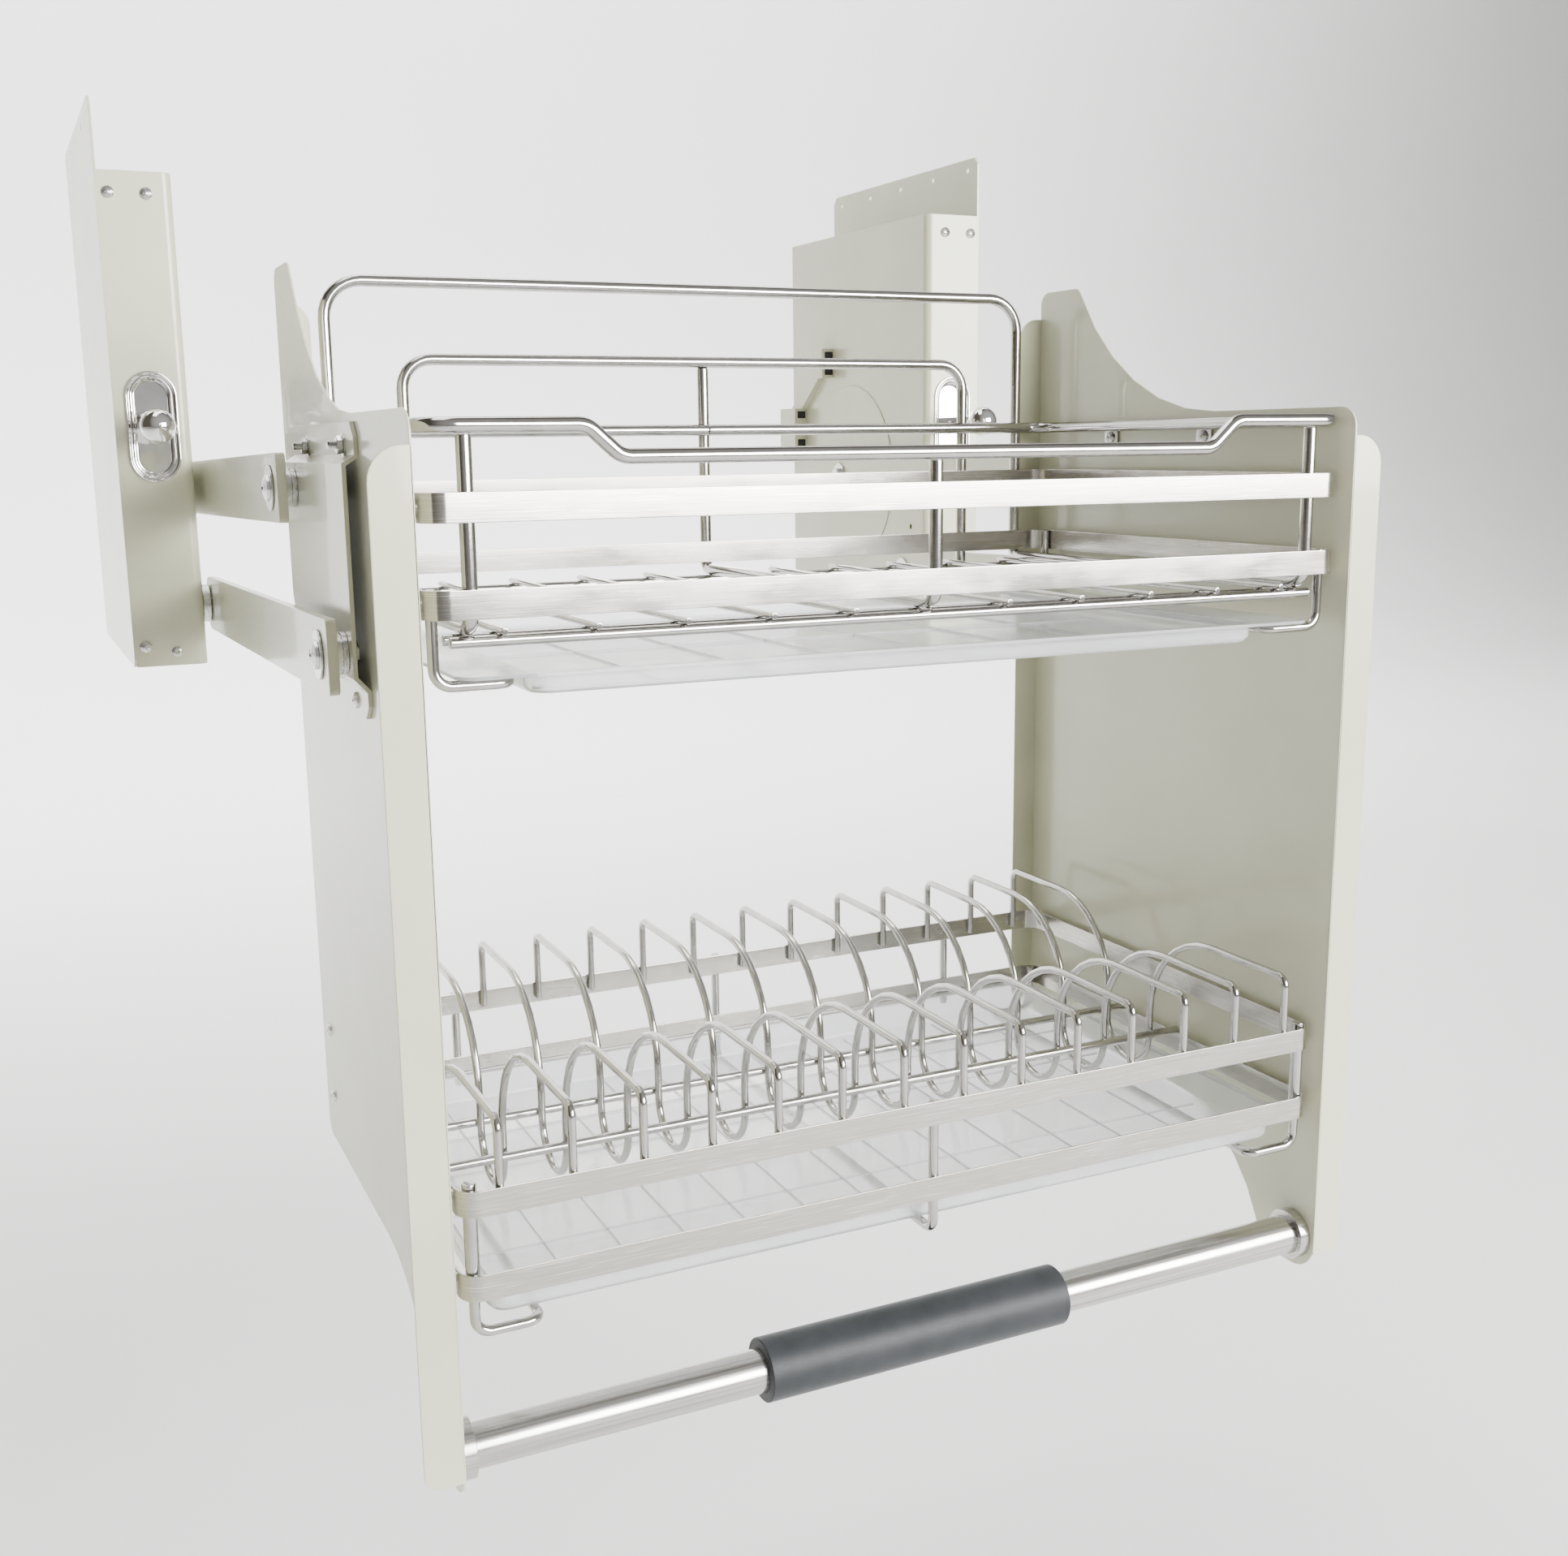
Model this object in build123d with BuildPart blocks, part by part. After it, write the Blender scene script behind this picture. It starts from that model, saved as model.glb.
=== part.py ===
"""A lift-up basket for a wall cabinet, lowered to its stop in front of the cabinet.

Each side has a spring housing that is screwed to the cabinet wall. Two parallel arms on each housing
carry the basket, so it stays level while it swings down and out. Lengths are in millimetres. The origin
lies mid-way between the two housings, on the plane of their front faces, at the height of their bottoms.
"""

import os
from math import acos, asin, cos, pi, radians, sin, sqrt, tan

from build123d import *

os.makedirs("parts", exist_ok=True)

# Clearances shared by all fits
running_gap = 0.3
screw_gap = 0.15
cut_over = 1.0

# Sides of the near-round sections, and tapers of the screw heads
turned_sides = 8
screw_sides = 6
hex_sides = 6
oval_sides = 8
tube_sides = 12
disc_sides = 16
rod_sides = 6
wire_sides = 5
corner_steps = 2
head_taper = 20.0
bolt_taper = 25.0
rim_taper = 30.0

# Bends of rods up to each limit are made in one chord or in two, and wider ones in three
one_chord_bend = 10.0
two_chord_bend = 26.0

# Spring housings
half_opening = 327.0
housing_width = 55.0
housing_depth = 291.0
housing_height = 371.0
cover_wall = 1.5
cover_corner = 7.0
plate_thick = 2.0
plate_height = 423.0
plate_corner = 6.0
plate_lip_reach = 40.0
plate_lip_thick = 1.5
mount_hole_radius = 2.6
mount_hole_pitch = 64.0
mount_hole_drop = 10.0
mount_hole_count = 5
boss_disc_radius = 88.0
boss_disc_proud = 1.0
peep_hole_radius = 2.5
peep_hole_y = 29.0
peep_hole_z = 87.0

# Linkage: where the arms turn on the housing and how far apart they sit
shaft_y = 152.0
shaft_z = 135.0
stud_y = 22.0
stud_z = 46.0
arm_span = 473.0
arm_rise = 7.5
arm_half_height = 21.0
arm_thick = 6.0
arm_inner_x = 314.0
arm_nose = 25.0
arm_nose_corner = 4.0
upper_arm_tail = 75.0

# Lift shaft, crank and springs inside each housing
shaft_radius = 8.0
shaft_square = 11.0
shaft_hub_radius = 15.0
shaft_bolt_radius = 3.0
shaft_bolt_depth = 14.0
shaft_washer_radius = 12.0
shaft_washer_thick = 1.6
shaft_head_radius = 7.0
shaft_head_height = 4.5
bearing_radius = 14.0
bearing_depth = 6.0
bearing_flange = 3.0
crank_radius = 45.0
crank_dip = 48.0
crank_x = 350.5
crank_thick = 5.0
crank_eye_radius = 9.0
crank_hub_radius = 16.0
crank_pin_radius = 4.0
crank_pin_reach = 19.0
stop_pin_radius = 5.0
stop_pin_share = 0.62
spring_radius = 8.0
spring_offset = 10.5
spring_eye_radius = 7.0
spring_eye_thick = 2.4
spring_neck = 6.0
anchor_drop = 26.0
stud_radius = 5.0
stud_collar_radius = 15.0
stud_head_radius = 8.0
stud_head_height = 3.0
stud_washer_radius = 12.0
stud_washer_thick = 1.2

# Switch on the front of each housing
switch_x = 354.5
switch_z = 184.0
switch_width = 38.0
switch_height = 84.0
switch_proud = 2.0
switch_rim = 5.5
switch_recess = 6.0
switch_wall = 1.2
knob_radius = 13.0
knob_stem_radius = 5.0
knob_near = 35.0
knob_travel = 20.0
knob_stem = 75.0
knob_collar_radius = 7.5
knob_collar_thick = 4.0
knob_cut_share = 0.48
knob_edge_share = 0.14
ring_slope = 0.1

# Stop bracket on the inner side of each housing
stop_depth = 14.0
stop_wall = 1.5
upper_stop_y = 189.0
upper_stop_z = 232.0
upper_stop_length = 25.0
upper_stop_height = 29.0
lower_stop_y = 254.0
lower_stop_z = 161.0
lower_stop_length = 36.0
lower_stop_height = 42.0
stop_link_depth = 6.0
stop_link_width = 24.0
bumper_width = 9.0
bumper_height = 7.0
bumper_proud = 0.6
bumper_inset = 3.0

# Screws of the housing cover
screw_radius = 2.0
screw_head_radius = 4.2
screw_head_height = 2.4
screw_grip = 8.0
cover_screw_low_z = 16.0
cover_screw_drop = 16.0
cover_screw_near = 9.0
cover_screw_far = 36.0
rivet_radius = 4.0
rivet_bore = 1.6
rivet_head_height = 1.2
rivet_x = 350.0
rivet_z = 11.0

# Basket, measured from the lower front corner of its side panels
panel_x = 296.0
panel_thick = 1.5
panel_depth = 352.0
panel_top = 564.5
panel_corner = 8.0
panel_underside = 70.0
panel_skirt_y = 165.0
panel_skirt_radius = 116.0
panel_sweep_y = 130.0
panel_sweep_radius = 200.5
panel_fin_top = 660.0
panel_fin_corner = 6.0
panel_foot_y = 27.0
panel_foot_z = 5.0
panel_foot_radius = 22.0
flange_reach = 21.0
flange_top = 547.0
flange_foot = 3.0
flange_top_corner = 11.0
flange_foot_corner = 6.0
rear_flange_foot = 80.0
rear_flange_top = 640.0
rear_flange_corner = 9.0

# Arm bracket on the outer side of each panel
front_upper_y = 268.0
front_upper_z = 522.5
bracket_thick = 2.5
bracket_lift = 7.0
bracket_front_y = 118.0
bracket_rear_y = 300.0
bracket_top_z = 560.0
bracket_top_bend_z = 541.5
bracket_top_face_z = 537.0
bracket_low_face_z = 421.0
bracket_low_bend_z = 413.0
bracket_bottom_z = 397.0
bracket_slant_y = 242.0
bracket_slant_z = 449.0
bracket_corner = 8.0
bracket_bolt_y = (144.0, 252.0)
bracket_bolt_z = 547.5
bracket_screw_y = (149.0, 222.0)
bracket_screw_z = 405.0
pivot_radius = 4.0
pivot_bush_radius = 12.0
pivot_washer_radius = 14.0
pivot_washer_thick = 1.2
pivot_head_radius = 8.0
pivot_head_height = 3.5
pivot_nut_radius = 7.0
pivot_nut_height = 4.5

# Stainless bands and rods of the basket
band_x = 290.0
band_front_y = 4.5
band_rear_y = 340.65
band_thick = 1.5
band_height = 15.0
band_corner = 12.0
upper_band_high_z = 523.8
upper_band_low_z = 476.1
lower_band_high_z = 160.3
lower_band_low_z = 112.4
band_screw_y = (30.0, 325.0)
spacer_radius = 5.0
rail_radius = 4.0
wire_radius = 3.0
floor_wire_radius = 2.0
plate_wire_radius = 2.5
rail_z = 556.0
rail_low_z = 540.0
rail_low_x = 187.0
rail_high_x = 205.0
rail_bend = 12.0
rail_corner = 18.0
rail_lug_thick = 2.0
rail_lug_width = 16.0
rail_lug_drop = 15.0
high_guard_x = 267.0
high_guard_z = 654.0
high_guard_corner = 25.0
low_guard_x = 218.0
low_guard_z = 604.0
low_guard_corner = 20.0
post_bend = 10.0
guard_bend = 3.0
floor_z = 449.0
floor_rod_y = (17.0, 31.0, 180.0, 337.0)
floor_rod_over = 6.0
floor_wire_pitch = 50.0
floor_wire_count = 5
cradle_x = 245.0
upper_cradle_z = 427.0
cradle_bend = 9.0
cradle_front_y = 17.5
cradle_rear_y = 327.0

# Drip trays
tray_wall = 1.8
tray_lip_x = 275.0
tray_front_y = 8.0
tray_rear_y = 335.0
tray_pan_x = 236.0
tray_pan_inset = 7.0
tray_pan_depth = 11.0
tray_corner = 12.0
tray_rib = 1.0
tray_rib_count = 6
lower_tray_x = 276.0
lower_tray_front_y = 15.5
lower_tray_rear_y = 337.5
lower_tray_height = 22.0
lower_tray_taper = 4.0

# Plate rack
plate_wire_count = 14
plate_wire_pitch = 41.0
plate_back_top_z = 197.0
plate_foot_z = 87.0
plate_back_y = 202.0
plate_front_y = 150.0
plate_back_bend = 66.0
plate_slot_bend = 26.0
plate_end_bend = 7.0
plate_end_z = 149.0
plate_rod_over = 2.0
lower_post_bore = 2.8
lower_post_high_z = 163.0
lower_post_low_z = 97.0
rear_post_x = 204.0
rear_post_low_z = 90.0
support_z = 76.0
support_bend = 8.0

# Handle
handle_y = 20.0
handle_z = 6.0
handle_radius = 13.0
handle_wall = 1.5
collar_radius = 17.0
collar_thick = 3.0
collar_sleeve = 5.0
plug_length = 15.0
grip_radius = 19.0
grip_length = 208.0
grip_offset = -7.0
grip_edge = 1.0
grip_gap = 0.1
handle_screw_radius = 3.0
handle_screw_head = 6.0

# Places worked out from the values above
cover_back_x = half_opening + housing_width - plate_thick
plate_back_x = half_opening + housing_width
crank_middle_x = crank_x + crank_thick / 2
arm_outer_x = arm_inner_x + arm_thick
anchor_z = housing_height - anchor_drop
cover_screw_high_z = housing_height - cover_screw_drop
basket_front = shaft_y - arm_span - front_upper_y
basket_bottom = shaft_z + arm_rise - front_upper_z
front_lower_y = front_upper_y + stud_y - shaft_y
front_lower_z = front_upper_z + stud_z - shaft_z
panel_inner_x = panel_x - panel_thick
bracket_face_x = panel_x + bracket_lift + bracket_thick
crank_pin_y = shaft_y - crank_radius * cos(radians(crank_dip))
crank_pin_z = shaft_z - crank_radius * sin(radians(crank_dip))
front_pivots = ((front_upper_y, front_upper_z), (front_lower_y, front_lower_z))
bracket_bolt_places = [(bolt_y, bracket_bolt_z) for bolt_y in bracket_bolt_y]
bracket_screw_places = [(screw_y, bracket_screw_z) for screw_y in bracket_screw_y]
band_screw_places = [
    (screw_y, band_z - band_height / 2)
    for band_z in (upper_band_high_z, upper_band_low_z, lower_band_high_z, lower_band_low_z)
    for screw_y in band_screw_y
]
rail_y = band_front_y + band_thick / 2
post_y = band_front_y + band_thick + rail_radius
guard_y = band_rear_y + rail_radius
floor_top_z = floor_z + wire_radius + rail_radius
knob_hole_radius = knob_stem_radius + running_gap
rivet_body_radius = rivet_bore + cover_wall / 2
bearing_neck_radius = (bearing_radius + shaft_radius) / 2
recess_width = switch_width - switch_rim * 2
recess_height = switch_height - switch_rim * 2
cover_screw_places = (
    (plate_back_x - cover_screw_near, cover_screw_high_z),
    (plate_back_x - cover_screw_far, cover_screw_high_z),
    (plate_back_x - cover_screw_near, cover_screw_low_z),
)


def side_plane(x):
    """Sketch plane across the object at x: its first axis runs rearwards and its second axis up."""
    return Plane(origin=(x, 0, 0), x_dir=(0, 1, 0), z_dir=(1, 0, 0))


def front_plane(y):
    """Sketch plane facing the user at y: its first axis runs to the right and its second axis up."""
    return Plane(origin=(0, y, 0), x_dir=(1, 0, 0), z_dir=(0, -1, 0))


def basket_plane(x):
    """Side plane that starts at the lower front corner of the basket."""
    return Plane(origin=(x, basket_front, basket_bottom), x_dir=(0, 1, 0), z_dir=(1, 0, 0))


def basket_front_plane(y):
    """Sketch plane facing the user at y, starting at the basket's lowest edge."""
    return Plane(origin=(0, basket_front + y, basket_bottom), x_dir=(1, 0, 0), z_dir=(0, -1, 0))


def arm_plane(x, pivot_y, pivot_z):
    """Side plane laid along an arm: its first axis runs from the rear pivot to the front one."""
    return Plane(origin=(x, pivot_y, pivot_z), x_dir=(0, -arm_span, arm_rise), z_dir=(-1, 0, 0))


def in_basket(x, y, z):
    """A point given from the lower front corner of the basket."""
    return Vector(x, basket_front + y, basket_bottom + z)


def save(part, name):
    """Labels a finished piece and writes its file."""
    part.label = name
    export_step(part, f"parts/{name}.step")


def save_pair(part, name):
    """Writes a piece of the right side, and its mirrored twin for the left side."""
    save(mirror(part, about=Plane.YZ), f"left_{name}")
    save(part, f"right_{name}")


def field(low_y, low_z, high_y, high_z, mode=Mode.ADD):
    """A rectangle from its lowest to its highest corner, in the sketch that is open."""
    with Locations(((low_y + high_y) / 2, (low_z + high_z) / 2)):
        Rectangle(high_y - low_y, high_z - low_z, mode=mode)


def disc(y, z, radius, mode=Mode.ADD):
    """A round face at one point of the open sketch."""
    with Locations((y, z)):
        Circle(radius, mode=mode)


def facet_disc(y, z, radius, sides=turned_sides, mode=Mode.ADD):
    """A near-round face with few sides, for small turned pieces and the screw holes."""
    with Locations((y, z)):
        RegularPolygon(radius, sides, mode=mode)


def facet_bore(y, z, radius, sides=turned_sides, mode=Mode.SUBTRACT):
    """A near-round hole whose flats clear a shaft of the radius given."""
    with Locations((y, z)):
        RegularPolygon(radius, sides, major_radius=False, mode=mode)


def facet_oval(y, z, height, width):
    """An upright oval face with few sides, in the open sketch."""
    reach = (height - width) / 2
    for end in (-reach, reach):
        with Locations((y, z + end)):
            RegularPolygon(width / 2, oval_sides, major_radius=False)
    with Locations((y, z)):
        Rectangle(width, reach * 2)


def facet_field(width, depth, corner, mode=Mode.ADD):
    """A centred rectangle whose corners are rounded in short chords."""
    points = []
    for quarter in range(4):
        across = (width / 2 - corner) * (1 if quarter in (0, 3) else -1)
        along = (depth / 2 - corner) * (1 if quarter in (0, 1) else -1)
        for step in range(corner_steps + 1):
            angle = (quarter + step / corner_steps) * pi / 2
            points.append((across + corner * cos(angle), along + corner * sin(angle)))
    Polygon(*points, align=None, mode=mode)


def bend_chords(bend):
    """How many chords round one bend: one for a tight bend, more for a wide one."""
    if bend <= one_chord_bend:
        return 1
    return 2 if bend <= two_chord_bend else 3


def bent_route(corners, bends):
    """Points of a rod's middle line, with each corner rounded to its bend radius in short chords."""
    route = [corners[0]]
    for before, corner, after, bend in zip(corners, corners[1:], corners[2:], bends):
        along = (corner - before).normalized()
        onward = (after - corner).normalized()
        turn = acos(along.dot(onward))
        inward = (onward - along * cos(turn)).normalized()
        start = corner - along * bend * tan(turn / 2)
        bend_steps = bend_chords(bend)
        for step in range(bend_steps + 1):
            angle = turn * step / bend_steps
            point = start + along * bend * sin(angle) + inward * bend * (1 - cos(angle))
            if (point - route[-1]).length > running_gap:
                route.append(point)
    route.append(corners[-1])
    return route


def bent_rod(corners, bends, radius, sides):
    """A rod of near-round section that follows a bent route."""
    route = bent_route(corners, bends)
    with BuildPart() as rod:
        with BuildLine():
            Polyline(*route)
        with BuildSketch(Plane(origin=route[0], z_dir=route[1] - route[0])):
            RegularPolygon(radius, sides)
        sweep(transition=Transition.RIGHT)
    return rod.part


# Mounting plate: a folded steel back with five screw holes along its top
with BuildPart() as mounting_plate:
    with BuildSketch(side_plane(cover_back_x)) as back:
        field(0, 0, housing_depth, plate_height)
        chamfer(back.vertices().group_by(Axis.Z)[-1], plate_corner)
        with Locations((housing_depth / 2, plate_height - mount_hole_drop)):
            with GridLocations(mount_hole_pitch, 0, mount_hole_count, 1):
                Circle(mount_hole_radius, mode=Mode.SUBTRACT)
    extrude(amount=plate_thick)
    lip_front = cover_wall
    lip_rear = housing_depth - cover_wall
    with BuildSketch(Plane.XY.offset(cover_wall)):
        field(cover_back_x - plate_lip_reach, lip_front, cover_back_x, lip_front + plate_lip_thick)
        field(cover_back_x - plate_lip_reach, lip_rear - plate_lip_thick, cover_back_x, lip_rear)
    extrude(amount=housing_height - cover_wall * 2)
    with BuildSketch(front_plane(lip_front)):
        with Locations((switch_x, switch_z)):
            Rectangle(switch_width, switch_height)
        for screw_x, screw_z in cover_screw_places:
            facet_bore(screw_x, screw_z, screw_radius + screw_gap, screw_sides, mode=Mode.ADD)
        facet_bore(rivet_x, rivet_z, rivet_body_radius + screw_gap, screw_sides, mode=Mode.ADD)
    extrude(amount=-plate_lip_thick, mode=Mode.SUBTRACT)
    with BuildSketch(side_plane(cover_back_x - bearing_depth)):
        facet_disc(shaft_y, shaft_z, bearing_radius)
        facet_bore(shaft_y, shaft_z, shaft_radius + running_gap)
    extrude(amount=bearing_depth)
save_pair(mounting_plate.part, "mounting_plate")

# Housing cover: a folded shell with round front and rear edges, open towards the mounting plate
with BuildPart() as housing_cover:
    with BuildSketch() as footprint:
        field(half_opening, 0, cover_back_x, housing_depth)
        chamfer(footprint.vertices().group_by(Axis.X)[0], cover_corner / 2)
    extrude(amount=housing_height)
    with BuildSketch(side_plane(half_opening - boss_disc_proud)):
        facet_disc(shaft_y, shaft_z, boss_disc_radius, disc_sides)
    extrude(amount=boss_disc_proud)
    with BuildSketch(Plane.XY.offset(cover_wall)) as hollow:
        field(half_opening + cover_wall, cover_wall, cover_back_x, housing_depth - cover_wall)
        chamfer(hollow.vertices().group_by(Axis.X)[0], cover_corner / 2 - cover_wall / 2)
    extrude(amount=housing_height - cover_wall * 2, mode=Mode.SUBTRACT)
    with BuildSketch(side_plane(half_opening - boss_disc_proud)):
        facet_bore(shaft_y, shaft_z, bearing_neck_radius + screw_gap, mode=Mode.ADD)
        facet_bore(stud_y, stud_z, stud_radius + screw_gap, screw_sides, mode=Mode.ADD)
        facet_bore(peep_hole_y, peep_hole_z, peep_hole_radius, screw_sides, mode=Mode.ADD)
    extrude(amount=boss_disc_proud + cover_wall, mode=Mode.SUBTRACT)
    with BuildSketch(front_plane(0)):
        hole_growth = (switch_wall + screw_gap) * 2
        facet_oval(switch_x, switch_z, recess_height + hole_growth, recess_width + hole_growth)
        for screw_x, screw_z in cover_screw_places:
            facet_bore(screw_x, screw_z, screw_radius + screw_gap, screw_sides, mode=Mode.ADD)
        facet_bore(rivet_x, rivet_z, rivet_body_radius + screw_gap, screw_sides, mode=Mode.ADD)
    extrude(amount=-cover_wall, mode=Mode.SUBTRACT)
save_pair(housing_cover.part, "housing_cover")

# Cover screws: pan heads on the front of each housing, two at the top and one at the bottom
with BuildPart() as cover_screws:
    with BuildSketch(front_plane(0)):
        with Locations(*cover_screw_places):
            RegularPolygon(screw_head_radius, screw_sides)
    extrude(amount=screw_head_height, taper=head_taper)
    with BuildSketch(front_plane(0)):
        with Locations(*cover_screw_places):
            RegularPolygon(screw_radius, screw_sides)
    extrude(amount=-screw_grip)
    mirror(about=Plane.YZ)
save(cover_screws.part, "cover_screws")

# Blind rivets beside the bottom screws, each with its open bore
with BuildPart() as cover_rivets:
    with BuildSketch(front_plane(0)):
        facet_disc(rivet_x, rivet_z, rivet_radius, screw_sides)
    extrude(amount=rivet_head_height)
    with BuildSketch(front_plane(0)):
        facet_disc(rivet_x, rivet_z, rivet_body_radius, screw_sides)
    extrude(amount=-cover_wall - plate_lip_thick)
    with BuildSketch(front_plane(-rivet_head_height)):
        facet_disc(rivet_x, rivet_z, rivet_bore, screw_sides)
    extrude(amount=-rivet_head_height - cover_wall - plate_lip_thick, mode=Mode.SUBTRACT)
    mirror(about=Plane.YZ)
save(cover_rivets.part, "cover_rivets")

# Switch plate: a pressed oval rim round a shallow cup that the knob passes through
with BuildPart() as switch_plate:
    with BuildSketch(front_plane(0)):
        facet_oval(switch_x, switch_z, switch_height, switch_width)
    extrude(amount=switch_proud, taper=rim_taper)
    with BuildSketch(front_plane(0)):
        facet_oval(switch_x, switch_z, recess_height + switch_wall * 2, recess_width + switch_wall * 2)
    extrude(amount=-switch_recess - switch_wall)
    with BuildSketch(front_plane(-switch_proud)):
        facet_oval(switch_x, switch_z, recess_height, recess_width)
    extrude(amount=-switch_proud - switch_recess, mode=Mode.SUBTRACT)
    with BuildSketch(front_plane(0)):
        facet_bore(switch_x, switch_z, knob_hole_radius, mode=Mode.ADD)
    extrude(amount=-switch_recess - switch_wall, mode=Mode.SUBTRACT)
save_pair(switch_plate.part, "switch_plate")


def switch_knob(ball_y):
    """Ball knob with its middle at ball_y, on a stem whose collar keeps it in the housing."""
    with BuildPart() as knob:
        with BuildSketch(front_plane(ball_y - knob_radius)):
            facet_disc(switch_x, switch_z, knob_radius)
        extrude(amount=-knob_radius * 2)
        for cut in (knob_radius * knob_cut_share, knob_radius * knob_edge_share):
            rings = knob.edges().filter_by(lambda edge: abs(edge.tangent_at(0).Y) < ring_slope)
            chamfer(rings, cut)
        with BuildSketch(front_plane(ball_y + knob_radius)):
            facet_disc(switch_x, switch_z, knob_stem_radius)
        extrude(amount=knob_radius - knob_stem)
        with BuildSketch(front_plane(ball_y + knob_stem)):
            facet_disc(switch_x, switch_z, knob_collar_radius)
        extrude(amount=knob_collar_thick)
    return knob.part


# Knobs: the right one is drawn out as photographed, and the left one is pushed in
save(switch_knob(-knob_near - knob_travel), "right_knob")
save(mirror(switch_knob(-knob_near), about=Plane.YZ), "left_knob")

# Stop bracket: two folded boxes on the inner side of the housing, joined by a slanting channel
upper_stop = (upper_stop_y, upper_stop_z)
lower_stop = (lower_stop_y, lower_stop_z)
with BuildPart() as stop_bracket:
    with BuildSketch(side_plane(half_opening)):
        field(*upper_stop, upper_stop_y + upper_stop_length, upper_stop_z + upper_stop_height)
        field(*lower_stop, lower_stop_y + lower_stop_length, lower_stop_z + lower_stop_height)
    extrude(amount=-stop_depth)
    with BuildSketch(side_plane(half_opening)):
        with BuildLine():
            Polyline(
                (lower_stop_y, lower_stop_z + lower_stop_height),
                (lower_stop_y + stop_link_width, lower_stop_z + lower_stop_height),
                (upper_stop_y + upper_stop_length, upper_stop_z + upper_stop_height),
                (upper_stop_y + upper_stop_length, upper_stop_z),
                close=True,
            )
        make_face()
    extrude(amount=-stop_link_depth)
    wall = stop_wall
    with BuildSketch(side_plane(half_opening)):
        field(
            upper_stop_y + wall,
            upper_stop_z + wall,
            upper_stop_y + upper_stop_length - wall,
            upper_stop_z + upper_stop_height - wall,
        )
        field(
            lower_stop_y + wall,
            lower_stop_z + wall,
            lower_stop_y + lower_stop_length - wall,
            lower_stop_z + lower_stop_height - wall,
        )
    extrude(amount=-stop_depth + stop_wall, mode=Mode.SUBTRACT)
    bumper_x = half_opening - bumper_width / 2 - stop_wall - screw_gap
    bumper_places = [
        (bumper_x, stop_z + edge * (height / 2 - bumper_inset - bumper_height / 2) + height / 2, stop_y)
        for stop_y, stop_z, height in (
            (upper_stop_y, upper_stop_z, upper_stop_height),
            (lower_stop_y, lower_stop_z, lower_stop_height),
        )
        for edge in (-1, 1)
    ]
    for place_x, place_z, place_y in bumper_places:
        with BuildSketch(front_plane(place_y)):
            with Locations((place_x, place_z)):
                Rectangle(bumper_width, bumper_height)
        extrude(amount=-stop_wall, mode=Mode.SUBTRACT)
save_pair(stop_bracket.part, "stop_bracket")

# Bumpers: rubber pads pressed through the front of each stop box
with BuildPart() as stop_bumpers:
    for place_x, place_z, place_y in bumper_places:
        with BuildSketch(front_plane(place_y + stop_wall * 2)):
            with Locations((place_x, place_z)):
                Rectangle(bumper_width - screw_gap * 2, bumper_height - screw_gap * 2)
        extrude(amount=stop_wall * 2 + bumper_proud)
    mirror(about=Plane.YZ)
save(stop_bumpers.part, "stop_bumpers")

# Spring anchors: plain pins riveted into the mounting plate
with BuildPart() as anchor_pins:
    with BuildSketch(side_plane(crank_middle_x - crank_pin_reach)):
        facet_disc(crank_pin_y, anchor_z, crank_pin_radius, screw_sides)
    extrude(amount=cover_back_x - crank_middle_x + crank_pin_reach)
    mirror(about=Plane.YZ)
save(anchor_pins.part, "spring_anchor_pins")

# Lower pivot studs: each carries the lower arm between a collar and a washer under its head
stud_collar_x = arm_outer_x + running_gap
stud_inner_x = arm_inner_x - running_gap
with BuildPart() as pivot_studs:
    with BuildSketch(side_plane(stud_inner_x - stud_washer_thick)):
        facet_disc(stud_y, stud_z, stud_radius, screw_sides)
    extrude(amount=cover_back_x - stud_inner_x + stud_washer_thick)
    with BuildSketch(side_plane(stud_collar_x)):
        facet_disc(stud_y, stud_z, stud_collar_radius)
    extrude(amount=half_opening - stud_collar_x)
    with BuildSketch(side_plane(stud_inner_x - stud_washer_thick)):
        facet_disc(stud_y, stud_z, stud_washer_radius)
    extrude(amount=stud_washer_thick)
    with BuildSketch(side_plane(stud_inner_x - stud_washer_thick)):
        facet_disc(stud_y, stud_z, stud_head_radius)
    extrude(amount=-stud_head_height, taper=head_taper)
    mirror(about=Plane.YZ)
save(pivot_studs.part, "lower_pivot_studs")

# Upper arm: a flat steel bar, square on the shaft and with a short tail behind it
with BuildPart() as upper_arm:
    with BuildSketch(arm_plane(arm_outer_x, shaft_y, shaft_z)) as bar:
        field(-upper_arm_tail + arm_half_height, -arm_half_height, arm_span + arm_nose, arm_half_height)
        chamfer(bar.vertices().group_by(Axis.Y)[0], arm_nose_corner)
        disc(-upper_arm_tail + arm_half_height, 0, arm_half_height)
        facet_bore(arm_span, 0, pivot_radius + running_gap)
        Rectangle(shaft_square + screw_gap * 2, shaft_square + screw_gap * 2, mode=Mode.SUBTRACT)
    extrude(amount=arm_thick)
save_pair(upper_arm.part, "upper_arm")

# Lower arm: the same bar with a round rear end, turning on the fixed stud
with BuildPart() as lower_arm:
    with BuildSketch(arm_plane(arm_outer_x, stud_y, stud_z)) as bar:
        field(0, -arm_half_height, arm_span + arm_nose, arm_half_height)
        chamfer(bar.vertices().group_by(Axis.Y)[0], arm_nose_corner)
        disc(0, 0, arm_half_height)
        facet_bore(arm_span, 0, pivot_radius + running_gap)
        facet_bore(0, 0, stud_radius + running_gap)
    extrude(amount=arm_thick)
save_pair(lower_arm.part, "lower_arm")

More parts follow.
